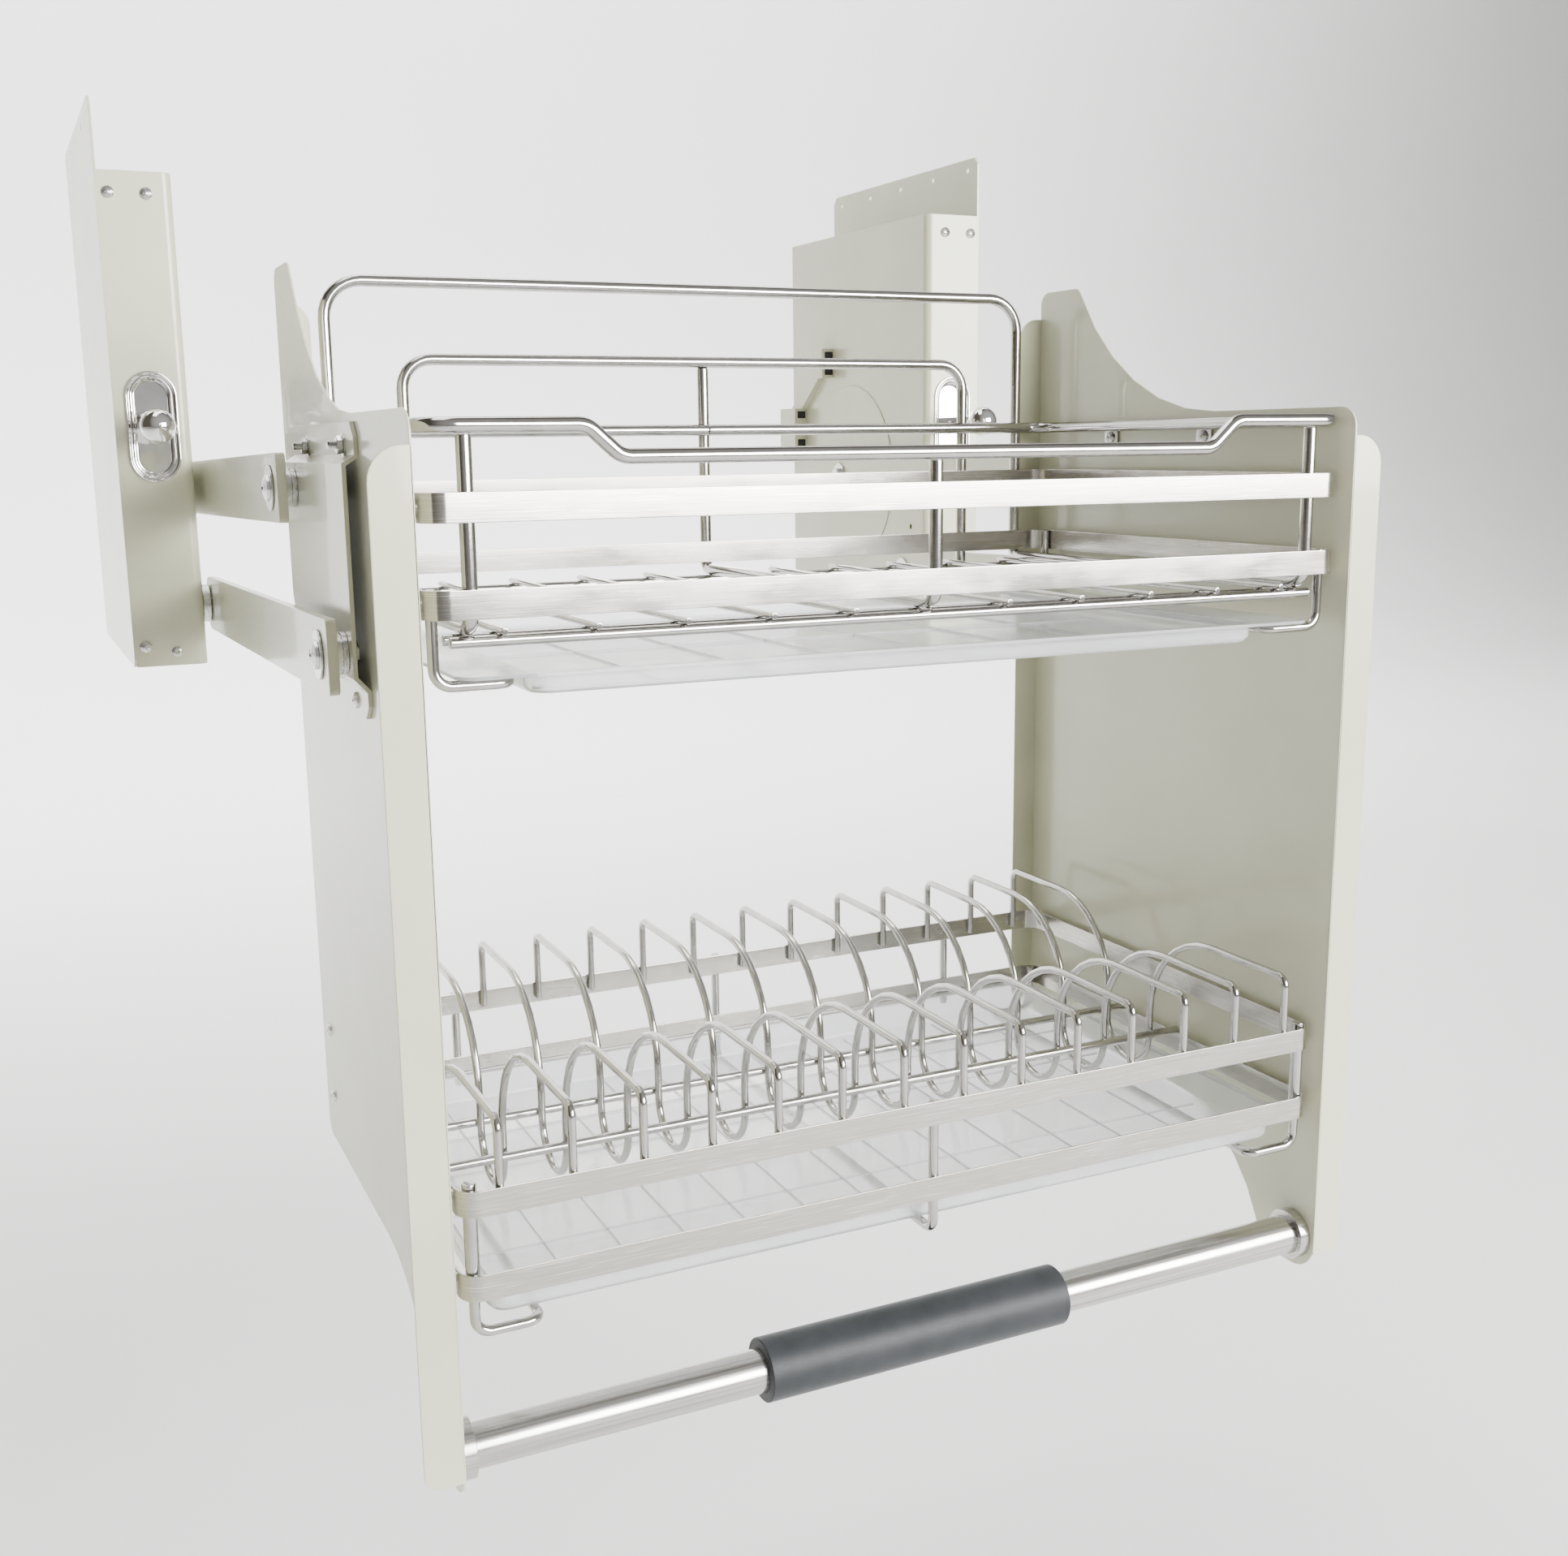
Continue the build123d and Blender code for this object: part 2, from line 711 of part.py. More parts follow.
# Lift crank: shaft, hub and lever in one piece, square where it drives the upper arm
with BuildPart() as lift_crank:
    with BuildSketch(side_plane(arm_outer_x)):
        facet_disc(shaft_y, shaft_z, shaft_hub_radius)
    extrude(amount=half_opening - boss_disc_proud - running_gap - arm_outer_x)
    with BuildSketch(side_plane(arm_outer_x)):
        facet_disc(shaft_y, shaft_z, shaft_radius)
    extrude(amount=cover_back_x - arm_outer_x)
    with BuildSketch(arm_plane(arm_outer_x, shaft_y, shaft_z)):
        Rectangle(shaft_square, shaft_square)
    extrude(amount=arm_thick)
    with BuildSketch(side_plane(crank_x)):
        facet_disc(shaft_y, shaft_z, crank_hub_radius)
        facet_disc(crank_pin_y, crank_pin_z, crank_eye_radius)
        make_hull()
    extrude(amount=crank_thick)
    with BuildSketch(side_plane(crank_middle_x - crank_pin_reach)):
        facet_disc(crank_pin_y, crank_pin_z, crank_pin_radius, screw_sides)
    extrude(amount=crank_pin_reach * 2)
    with BuildSketch(side_plane(arm_inner_x)):
        facet_bore(shaft_y, shaft_z, shaft_bolt_radius + screw_gap, screw_sides, mode=Mode.ADD)
    extrude(amount=shaft_bolt_depth + screw_gap, mode=Mode.SUBTRACT)
save_pair(lift_crank.part, "lift_crank")

# Shaft bolt: holds the upper arm on the square of the shaft
with BuildPart() as shaft_bolt:
    with BuildSketch(side_plane(arm_inner_x)):
        facet_disc(shaft_y, shaft_z, shaft_bolt_radius, screw_sides)
    extrude(amount=shaft_bolt_depth)
    with BuildSketch(side_plane(arm_inner_x)):
        facet_disc(shaft_y, shaft_z, shaft_washer_radius)
    extrude(amount=-shaft_washer_thick)
    with BuildSketch(side_plane(arm_inner_x - shaft_washer_thick)):
        facet_disc(shaft_y, shaft_z, shaft_head_radius, hex_sides)
    extrude(amount=-shaft_head_height)
save_pair(shaft_bolt.part, "shaft_bolt")

# Bearings: a flanged bush in the cover for each shaft
with BuildPart() as shaft_bearings:
    with BuildSketch(side_plane(half_opening + cover_wall)):
        facet_disc(shaft_y, shaft_z, bearing_radius)
    extrude(amount=bearing_flange)
    with BuildSketch(side_plane(half_opening - boss_disc_proud)):
        facet_disc(shaft_y, shaft_z, bearing_neck_radius)
    extrude(amount=boss_disc_proud + cover_wall)
    with BuildSketch(side_plane(half_opening - boss_disc_proud)):
        facet_bore(shaft_y, shaft_z, shaft_radius + running_gap, mode=Mode.ADD)
    extrude(amount=boss_disc_proud + cover_wall + bearing_flange, mode=Mode.SUBTRACT)
    mirror(about=Plane.YZ)
save(shaft_bearings.part, "shaft_bearings")

# Crank stops: a pin through the mounting plate under each crank, where the basket ends its way down
stop_pin_reach = cover_back_x - crank_x
stop_share_y = crank_radius * stop_pin_share * cos(radians(crank_dip))
stop_share_z = crank_radius * stop_pin_share * sin(radians(crank_dip))
crank_taper = asin((crank_hub_radius - crank_eye_radius) / crank_radius)
lever_half = crank_hub_radius - crank_radius * stop_pin_share * sin(crank_taper)
stop_distance = lever_half / cos(crank_taper) + (stop_pin_radius + running_gap) / cos(crank_taper)
stop_pin_y = shaft_y - stop_share_y + stop_distance * sin(radians(crank_dip))
stop_pin_z = shaft_z - stop_share_z - stop_distance * cos(radians(crank_dip))
with BuildPart() as crank_stops:
    with BuildSketch(side_plane(crank_x)):
        facet_disc(stop_pin_y, stop_pin_z, stop_pin_radius)
    extrude(amount=stop_pin_reach)
    mirror(about=Plane.YZ)
save(crank_stops.part, "crank_stops")

# Lift springs: two tension springs on each side, hooked on the crank pin and on the anchor
spring_low_z = crank_pin_z + spring_eye_radius + spring_neck
spring_high_z = anchor_z - spring_eye_radius - spring_neck
with BuildPart() as lift_springs:
    for spring_x in (crank_middle_x - spring_offset, crank_middle_x + spring_offset):
        with BuildSketch(Plane(origin=(spring_x, crank_pin_y, spring_low_z))):
            RegularPolygon(spring_radius, turned_sides)
        extrude(amount=spring_high_z - spring_low_z)
        for eye_z, neck_low_z in ((crank_pin_z, crank_pin_z), (anchor_z, spring_high_z)):
            with BuildSketch(side_plane(spring_x - spring_eye_thick / 2)):
                facet_disc(crank_pin_y, eye_z, spring_eye_radius, screw_sides)
                neck_reach = spring_eye_radius + spring_neck
                field(
                    crank_pin_y - spring_eye_thick,
                    neck_low_z,
                    crank_pin_y + spring_eye_thick,
                    neck_low_z + neck_reach,
                )
                facet_bore(crank_pin_y, eye_z, crank_pin_radius + running_gap, screw_sides)
            extrude(amount=spring_eye_thick)
save_pair(lift_springs.part, "lift_springs")

# Side panel: folded sheet steel with a swept top, a rear fin, a skirt and a round foot for the handle
sweep_rise = panel_top + panel_sweep_radius - panel_fin_top
fin_front_y = panel_sweep_y + sqrt(panel_sweep_radius**2 - sweep_rise**2)
skirt_drop = panel_skirt_radius - panel_underside
with BuildPart() as side_panel:
    with BuildSketch(basket_plane(panel_inner_x)):
        field(0, panel_underside, panel_depth, panel_fin_top)
        field(0, 0, panel_skirt_y, panel_underside)
        field(-cut_over, panel_top, panel_sweep_y, panel_fin_top + cut_over, mode=Mode.SUBTRACT)
        disc(panel_sweep_y, panel_top + panel_sweep_radius, panel_sweep_radius, mode=Mode.SUBTRACT)
        disc(panel_skirt_y, -skirt_drop, panel_skirt_radius, mode=Mode.SUBTRACT)
        facet_disc(panel_foot_y, panel_foot_z, panel_foot_radius, tube_sides)
    extrude(amount=panel_thick)
    for tip_y, tip_z, corner in (
        (0, panel_top, panel_corner),
        (fin_front_y, panel_fin_top, panel_fin_corner),
        (panel_depth, panel_fin_top, panel_fin_corner),
        (panel_depth, panel_underside, panel_fin_corner),
    ):
        tip = in_basket(panel_x - panel_thick / 2, tip_y, tip_z)
        chamfer(side_panel.edges().filter_by(Axis.X).sort_by_distance(tip)[0], corner)
    with BuildSketch(basket_front_plane(0)) as front_flange:
        field(panel_inner_x, -flange_foot, panel_x + flange_reach, flange_top)
        outer = front_flange.vertices().sort_by(Axis.X)[-2:].sort_by(Axis.Z)
        chamfer(outer[-1], flange_top_corner)
        outer = front_flange.vertices().sort_by(Axis.X)[-2:].sort_by(Axis.Z)
        chamfer(outer[0], flange_foot_corner)
    extrude(amount=-panel_thick)
    with BuildSketch(basket_front_plane(panel_depth)) as rear_flange:
        field(panel_x - flange_reach, rear_flange_foot, panel_x, rear_flange_top)
        inner = rear_flange.vertices().sort_by(Axis.X)[:2].sort_by(Axis.Z)
        chamfer(inner[-1], rear_flange_corner)
    extrude(amount=panel_thick)
    with BuildSketch(basket_plane(panel_inner_x)):
        with Locations(*bracket_bolt_places, *bracket_screw_places, *band_screw_places):
            RegularPolygon(screw_radius + screw_gap, screw_sides, major_radius=False)
        facet_bore(handle_y, handle_z, handle_screw_radius + screw_gap, screw_sides, mode=Mode.ADD)
    extrude(amount=panel_thick, mode=Mode.SUBTRACT)
save_pair(side_panel.part, "side_panel")

# Arm bracket: a joggled plate that stands off the panel and leaves room for the pivot nuts
with BuildPart() as arm_bracket:
    with BuildSketch(basket_front_plane(bracket_rear_y)):
        with BuildLine():
            low_x = panel_x + bracket_thick / 2
            high_x = low_x + bracket_lift
            Polyline(
                (low_x, bracket_bottom_z),
                (low_x, bracket_low_bend_z),
                (high_x, bracket_low_face_z),
                (high_x, bracket_top_face_z),
                (low_x, bracket_top_bend_z),
                (low_x, bracket_top_z),
            )
        trace(line_width=bracket_thick)
    extrude(amount=bracket_rear_y - bracket_front_y)
    with BuildSketch(basket_plane(panel_x)) as plan:
        with BuildLine():
            Polyline(
                (bracket_front_y, bracket_bottom_z),
                (bracket_slant_y, bracket_bottom_z),
                (bracket_rear_y, bracket_slant_z),
                (bracket_rear_y, bracket_top_z),
                (bracket_front_y, bracket_top_z),
                close=True,
            )
        make_face()
        chamfer(plan.vertices(), bracket_corner)
        with Locations(*bracket_bolt_places, *bracket_screw_places):
            RegularPolygon(screw_radius + screw_gap, screw_sides, major_radius=False, mode=Mode.SUBTRACT)
        with Locations(*front_pivots):
            RegularPolygon(pivot_radius + screw_gap, screw_sides, major_radius=False, mode=Mode.SUBTRACT)
    extrude(amount=bracket_lift + bracket_thick, mode=Mode.INTERSECT)
save_pair(arm_bracket.part, "arm_bracket")

# Bracket bolts: through the panel from the bracket into the rail lugs, and into nuts at the bottom
with BuildPart() as bracket_bolts:
    for places, inner_x in (
        (bracket_bolt_places, panel_inner_x - rail_lug_thick),
        (bracket_screw_places, panel_inner_x),
    ):
        with BuildSketch(basket_plane(panel_x + bracket_thick)):
            with Locations(*places):
                RegularPolygon(screw_head_radius, screw_sides)
        extrude(amount=screw_head_height, taper=head_taper)
        with BuildSketch(basket_plane(panel_x + bracket_thick)):
            with Locations(*places):
                RegularPolygon(screw_radius, screw_sides)
        extrude(amount=inner_x - panel_x - bracket_thick)
        with BuildSketch(basket_plane(inner_x)):
            with Locations(*places):
                RegularPolygon(screw_head_radius, hex_sides)
        extrude(amount=-screw_head_height)
    mirror(about=Plane.YZ)
save(bracket_bolts.part, "bracket_bolts")

# Front pivot bolts: each arm turns on one, between its bush and its washer
with BuildPart() as pivot_bolts:
    head_x = arm_outer_x + running_gap + pivot_washer_thick
    nut_x = panel_x + bracket_lift - pivot_nut_height
    with BuildSketch(basket_plane(nut_x)):
        with Locations(*front_pivots):
            RegularPolygon(pivot_radius, screw_sides)
    extrude(amount=head_x - nut_x)
    with BuildSketch(basket_plane(head_x)):
        with Locations(*front_pivots):
            RegularPolygon(pivot_head_radius, turned_sides)
    extrude(amount=pivot_head_height, taper=bolt_taper)
    with BuildSketch(basket_plane(nut_x)):
        with Locations(*front_pivots):
            RegularPolygon(pivot_nut_radius, hex_sides)
    extrude(amount=pivot_nut_height)
    mirror(about=Plane.YZ)
save(pivot_bolts.part, "front_pivot_bolts")

# Pivot bushes: turned rings that hold the arms off the bracket
bush_length = arm_inner_x - running_gap - bracket_face_x
with BuildPart() as pivot_bushes:
    with BuildSketch(basket_plane(bracket_face_x)):
        with Locations(*front_pivots):
            RegularPolygon(pivot_bush_radius, turned_sides)
            RegularPolygon(pivot_radius + screw_gap, screw_sides, major_radius=False, mode=Mode.SUBTRACT)
    extrude(amount=bush_length)
    mirror(about=Plane.YZ)
save(pivot_bushes.part, "front_pivot_bushes")

# Pivot washers: under the heads of the pivot bolts
with BuildPart() as pivot_washers:
    with BuildSketch(basket_plane(arm_outer_x + running_gap)):
        with Locations(*front_pivots):
            RegularPolygon(pivot_washer_radius, turned_sides)
            RegularPolygon(pivot_radius + screw_gap, screw_sides, major_radius=False, mode=Mode.SUBTRACT)
    extrude(amount=pivot_washer_thick)
    mirror(about=Plane.YZ)
save(pivot_washers.part, "front_pivot_washers")


def band(top_z):
    """A closed stainless strip on edge round the basket, with a threaded boss for each of its screws."""
    depth = band_rear_y - band_front_y
    inner_corner = band_corner - band_thick
    with BuildPart() as strip:
        with BuildSketch(Plane(origin=in_basket(0, band_front_y + depth / 2, top_z - band_height))):
            facet_field(band_x * 2, depth, band_corner)
            inner_width = (band_x - band_thick) * 2
            facet_field(inner_width, depth - band_thick * 2, inner_corner, mode=Mode.SUBTRACT)
        extrude(amount=band_height)
        with BuildSketch(basket_plane(band_x)):
            for screw_y in band_screw_y:
                facet_disc(screw_y, top_z - band_height / 2, spacer_radius, turned_sides)
                facet_bore(screw_y, top_z - band_height / 2, screw_radius + screw_gap, screw_sides)
        extrude(amount=panel_inner_x - band_x)
        with BuildSketch(basket_plane(-band_x)):
            for screw_y in band_screw_y:
                facet_disc(screw_y, top_z - band_height / 2, spacer_radius, turned_sides)
                facet_bore(screw_y, top_z - band_height / 2, screw_radius + screw_gap, screw_sides)
        extrude(amount=band_x - panel_inner_x)
    return strip.part


# Bands: two round the upper basket and two round the plate rack
save(band(upper_band_high_z), "upper_band_top")
save(band(upper_band_low_z), "upper_band_bottom")
save(band(lower_band_high_z), "lower_band_top")
save(band(lower_band_low_z), "lower_band_bottom")

# Band screws: through each panel into the bosses of the bands
with BuildPart() as band_screws:
    with BuildSketch(basket_plane(panel_x)):
        with Locations(*band_screw_places):
            RegularPolygon(screw_head_radius, screw_sides)
    extrude(amount=screw_head_height, taper=head_taper)
    with BuildSketch(basket_plane(panel_x)):
        with Locations(*band_screw_places):
            RegularPolygon(screw_radius, screw_sides)
    extrude(amount=band_x - panel_x)
    mirror(about=Plane.YZ)
save(band_screws.part, "band_screws")

# Top rail: one rod round the upper basket, lower in front, with four lugs bolted to the panels
rail_side_x = panel_inner_x - rail_radius - rail_lug_thick / 2
with BuildPart() as top_rail:
    add(
        bent_rod(
            (
                in_basket(0, rail_y, rail_low_z),
                in_basket(rail_low_x, rail_y, rail_low_z),
                in_basket(rail_high_x, rail_y, rail_z),
                in_basket(rail_side_x, rail_y, rail_z),
                in_basket(rail_side_x, band_rear_y - rail_radius, rail_z),
                in_basket(0, band_rear_y - rail_radius, rail_z),
            ),
            (rail_bend, rail_bend, rail_corner, rail_corner),
            rail_radius,
            rod_sides,
        )
    )
    with BuildSketch(basket_plane(panel_inner_x - rail_lug_thick)):
        for lug_y in bracket_bolt_y:
            field(
                lug_y - rail_lug_width / 2,
                rail_z - rail_lug_drop,
                lug_y + rail_lug_width / 2,
                rail_z + rail_radius / 2,
            )
    extrude(amount=rail_lug_thick)
    with BuildSketch(basket_plane(panel_inner_x)):
        with Locations(*bracket_bolt_places):
            RegularPolygon(screw_radius + screw_gap, screw_sides, major_radius=False)
    extrude(amount=-rail_lug_thick - rail_radius, mode=Mode.SUBTRACT)
    mirror(about=Plane.YZ)
save(top_rail.part, "top_rail")

# High guard: one rod behind the basket that runs on under the floor wires and up as front posts
post_top_z = rail_z - rail_radius
with BuildPart() as high_guard:
    add(
        bent_rod(
            (
                in_basket(0, guard_y, high_guard_z),
                in_basket(high_guard_x, guard_y, high_guard_z),
                in_basket(high_guard_x, guard_y, floor_top_z),
                in_basket(high_guard_x, post_y, floor_top_z),
                in_basket(high_guard_x, post_y, post_top_z),
            ),
            (high_guard_corner, guard_bend, post_bend),
            rail_radius,
            rod_sides,
        )
    )
    mirror(about=Plane.YZ)
save(high_guard.part, "high_guard")

# Low guard: a lower hoop behind the basket, ending at the floor
with BuildPart() as low_guard:
    add(
        bent_rod(
            (
                in_basket(0, guard_y, low_guard_z),
                in_basket(low_guard_x, guard_y, low_guard_z),
                in_basket(low_guard_x, guard_y, floor_z - wire_radius),
            ),
            (low_guard_corner,),
            rail_radius,
            rod_sides,
        )
    )
    mirror(about=Plane.YZ)
save(low_guard.part, "low_guard")

# Middle bar: from the low guard down, forward under the floor and up to the front rail
with BuildPart() as middle_bar:
    add(
        bent_rod(
            (
                in_basket(0, guard_y, low_guard_z - rail_radius),
                in_basket(0, guard_y, floor_top_z),
                in_basket(0, post_y, floor_top_z),
                in_basket(0, post_y, rail_low_z - rail_radius),
            ),
            (guard_bend, post_bend),
            rail_radius,
            rod_sides,
        )
    )
save(middle_bar.part, "middle_bar")

# Floor wires: four cross rods under ten long wires, which are welded where they touch
with BuildPart() as floor_wires:
    for rod_y in floor_rod_y:
        rod_end = high_guard_x + rail_radius + floor_rod_over
        add(
            bent_rod(
                (in_basket(-rod_end, rod_y, floor_z), in_basket(rod_end, rod_y, floor_z)),
                (),
                wire_radius,
                rod_sides,
            )
        )
    long_wire_z = floor_z + wire_radius + floor_wire_radius
    for index in range(1, floor_wire_count + 1):
        for side in (-1, 1):
            wire_x = side * index * floor_wire_pitch
            add(
                bent_rod(
                    (
                        in_basket(wire_x, post_y, long_wire_z),
                        in_basket(wire_x, floor_rod_y[-1] + wire_radius, long_wire_z),
                    ),
                    (),
                    floor_wire_radius,
                    wire_sides,
                )
            )
save(floor_wires.part, "upper_floor_wires")

# Upper tray cradle: a bent rod at each end, hung from the lower band, on which the tray slides
hang_x = band_x - band_thick - wire_radius
with BuildPart() as upper_cradle:
    add(
        bent_rod(
            (
                in_basket(hang_x, cradle_front_y, upper_band_low_z),
                in_basket(hang_x, cradle_front_y, upper_cradle_z),
                in_basket(cradle_x, cradle_front_y, upper_cradle_z),
                in_basket(cradle_x, cradle_rear_y, upper_cradle_z),
                in_basket(hang_x, cradle_rear_y, upper_cradle_z),
                in_basket(hang_x, cradle_rear_y, upper_band_low_z),
            ),
            (cradle_bend, cradle_bend, cradle_bend, cradle_bend),
            wire_radius,
            wire_sides,
        )
    )
    mirror(about=Plane.YZ)
save(upper_cradle.part, "upper_tray_cradle")

# Upper drip tray: a thin moulded pan that hangs by its lip on the cradle
lip_z = upper_cradle_z + wire_radius + running_gap
tray_middle_y = (tray_front_y + tray_rear_y) / 2
tray_length = tray_rear_y - tray_front_y
with BuildPart() as upper_tray:
    with BuildSketch(Plane(origin=in_basket(0, tray_middle_y, lip_z))):
        facet_field(tray_lip_x * 2, tray_length, tray_corner)
    extrude(amount=tray_wall)
    pan_length = tray_length - tray_pan_inset * 2
    with BuildSketch(Plane(origin=in_basket(0, tray_middle_y, lip_z - tray_pan_depth))):
        facet_field(tray_pan_x * 2, pan_length, tray_corner)
    extrude(amount=tray_pan_depth)
    with BuildSketch(Plane(origin=in_basket(0, tray_middle_y, lip_z - tray_pan_depth + tray_wall))):
        facet_field(
            (tray_pan_x - tray_wall) * 2,
            pan_length - tray_wall * 2,
            tray_corner - tray_wall,
        )
    extrude(amount=tray_pan_depth, mode=Mode.SUBTRACT)
    rib_length = pan_length - tray_corner * 2
    rib_reach = (tray_pan_x - tray_corner) * 2
    with BuildSketch(Plane(origin=in_basket(0, tray_middle_y, lip_z - tray_pan_depth + tray_wall))):
        with GridLocations(rib_reach / tray_rib_count, 0, tray_rib_count, 1):
            Rectangle(tray_rib, rib_length)
    extrude(amount=tray_rib)
save(upper_tray.part, "upper_drip_tray")

# Lower posts: short tubes in the front corners and rods behind the rear bands
corner_swing = (band_corner - band_thick - rail_radius - running_gap) / sqrt(2)
corner_post_x = band_x - band_corner + corner_swing
corner_post_y = band_front_y + band_corner - corner_swing
rear_post_y = band_rear_y + wire_radius
with BuildPart() as lower_posts:
    for side in (-1, 1):
        with BuildSketch(Plane(origin=in_basket(side * corner_post_x, corner_post_y, lower_post_low_z))):
            RegularPolygon(rail_radius, rod_sides)
            RegularPolygon(lower_post_bore, rod_sides, mode=Mode.SUBTRACT)
        extrude(amount=lower_post_high_z - lower_post_low_z)
        with BuildSketch(Plane(origin=in_basket(side * rear_post_x, rear_post_y, rear_post_low_z))):
            RegularPolygon(wire_radius, rod_sides)
        extrude(amount=lower_band_high_z - rear_post_low_z)
save(lower_posts.part, "lower_posts")

# Plate wires: fourteen bent wires that hold plates on edge, with a round back and a deep slot
front_leg_y = band_front_y + band_thick + plate_wire_radius
rear_leg_y = band_rear_y - band_thick - plate_wire_radius
with BuildPart() as plate_wires:
    for index in range(plate_wire_count):
        wire_x = (index - (plate_wire_count - 1) / 2) * plate_wire_pitch
        add(
            bent_rod(
                (
                    in_basket(wire_x, rear_leg_y, plate_end_z),
                    in_basket(wire_x, rear_leg_y, plate_back_top_z),
                    in_basket(wire_x, plate_back_y, plate_back_top_z),
                    in_basket(wire_x, plate_back_y, plate_foot_z),
                    in_basket(wire_x, plate_front_y, plate_foot_z),
                    in_basket(wire_x, plate_front_y, plate_back_top_z),
                    in_basket(wire_x, front_leg_y, plate_back_top_z),
                    in_basket(wire_x, front_leg_y, plate_end_z),
                ),
                (
                    plate_end_bend,
                    plate_back_bend,
                    plate_slot_bend,
                    plate_slot_bend,
                    plate_back_bend,
                    plate_end_bend,
                ),
                plate_wire_radius,
                wire_sides,
            )
        )
save(plate_wires.part, "plate_wires")

# Plate rods: two long rods on the lower band that carry the plate wires at their slots
plate_rod_z = lower_band_low_z + wire_radius
plate_rod_x = band_x - plate_rod_over
with BuildPart() as plate_rods:
    for rod_y in (
        plate_back_y + plate_wire_radius + wire_radius,
        plate_front_y - plate_wire_radius - wire_radius,
    ):
        add(
            bent_rod(
                (
                    in_basket(-plate_rod_x, rod_y, plate_rod_z),
                    in_basket(plate_rod_x, rod_y, plate_rod_z),
                ),
                (),
                wire_radius,
                rod_sides,
            )
        )
save(plate_rods.part, "plate_rods")

# Middle support: a rod from the front bands under the lower tray to the rear bands
with BuildPart() as middle_support:
    add(
        bent_rod(
            (
                in_basket(0, band_front_y + band_thick + wire_radius, lower_band_high_z),
                in_basket(0, band_front_y + band_thick + wire_radius, support_z),
                in_basket(0, rear_post_y, support_z),
                in_basket(0, rear_post_y, lower_band_high_z),
            ),
            (support_bend, support_bend),
            wire_radius,
            rod_sides,
        )
    )
save(middle_support.part, "middle_support")

# Lower tray cradle: a bent rod under each end of the lower tray, standing in the band corners
rear_corner_swing = (band_corner - band_thick - wire_radius - running_gap) / sqrt(2)
rear_hang_y = band_rear_y - band_corner + rear_corner_swing
with BuildPart() as lower_cradle:
    add(
        bent_rod(
            (
                in_basket(corner_post_x, corner_post_y, lower_post_low_z),
                in_basket(corner_post_x, corner_post_y, support_z),
                in_basket(cradle_x, corner_post_y, support_z),
                in_basket(cradle_x, rear_hang_y, support_z),
                in_basket(corner_post_x, rear_hang_y, support_z),
                in_basket(corner_post_x, rear_hang_y, lower_band_low_z),
            ),
            (cradle_bend, cradle_bend, cradle_bend, cradle_bend),
            wire_radius,
            wire_sides,
        )
    )
    mirror(about=Plane.YZ)
save(lower_cradle.part, "lower_tray_cradle")

# Lower drip tray: a deeper pan that lies on its cradle and the middle support
lower_tray_z = support_z + wire_radius
lower_middle_y = (lower_tray_front_y + lower_tray_rear_y) / 2
lower_length = lower_tray_rear_y - lower_tray_front_y
with BuildPart() as lower_tray:
    with BuildSketch(Plane(origin=in_basket(0, lower_middle_y, lower_tray_z))):
        facet_field((lower_tray_x - lower_tray_taper) * 2, lower_length - lower_tray_taper * 2, tray_corner)
    extrude(amount=lower_tray_height - tray_wall)
    lower_rim_z = lower_tray_z + lower_tray_height - tray_wall
    with BuildSketch(Plane(origin=in_basket(0, lower_middle_y, lower_rim_z))):
        facet_field(lower_tray_x * 2, lower_length, tray_corner)
    extrude(amount=tray_wall)
    with BuildSketch(Plane(origin=in_basket(0, lower_middle_y, lower_tray_z + tray_wall))):
        wall_inset = lower_tray_taper + tray_wall
        facet_field(
            (lower_tray_x - wall_inset) * 2,
            lower_length - wall_inset * 2,
            tray_corner - tray_wall,
        )
    extrude(amount=lower_tray_height, mode=Mode.SUBTRACT)
    lower_rib_length = lower_length - (lower_tray_taper + tray_corner) * 2
    lower_rib_reach = (lower_tray_x - lower_tray_taper - tray_corner) * 2
    with BuildSketch(Plane(origin=in_basket(0, lower_middle_y, lower_tray_z + tray_wall))):
        with GridLocations(lower_rib_reach / tray_rib_count, 0, tray_rib_count, 1):
            Rectangle(tray_rib, lower_rib_length)
    extrude(amount=tray_rib)
save(lower_tray.part, "lower_drip_tray")

# Handle tube between the feet of the panels
tube_end_x = panel_inner_x - collar_thick
with BuildPart() as handle_tube:
    with BuildSketch(basket_plane(-tube_end_x)):
        facet_disc(handle_y, handle_z, handle_radius, tube_sides)
        facet_disc(handle_y, handle_z, handle_radius - handle_wall, turned_sides, mode=Mode.SUBTRACT)
    extrude(amount=tube_end_x * 2)
save(handle_tube.part, "handle_tube")

# Grip: a soft sleeve on the middle of the handle tube
with BuildPart() as handle_grip:
    with BuildSketch(basket_plane(grip_offset - grip_length / 2)):
        facet_disc(handle_y, handle_z, grip_radius, tube_sides)
    extrude(amount=grip_length)
    chamfer(handle_grip.edges().group_by(Axis.X)[0] + handle_grip.edges().group_by(Axis.X)[-1], grip_edge)
    with BuildSketch(basket_plane(grip_offset - grip_length / 2)):
        facet_bore(handle_y, handle_z, handle_radius + grip_gap, tube_sides, mode=Mode.ADD)
    extrude(amount=grip_length, mode=Mode.SUBTRACT)
save(handle_grip.part, "handle_grip")

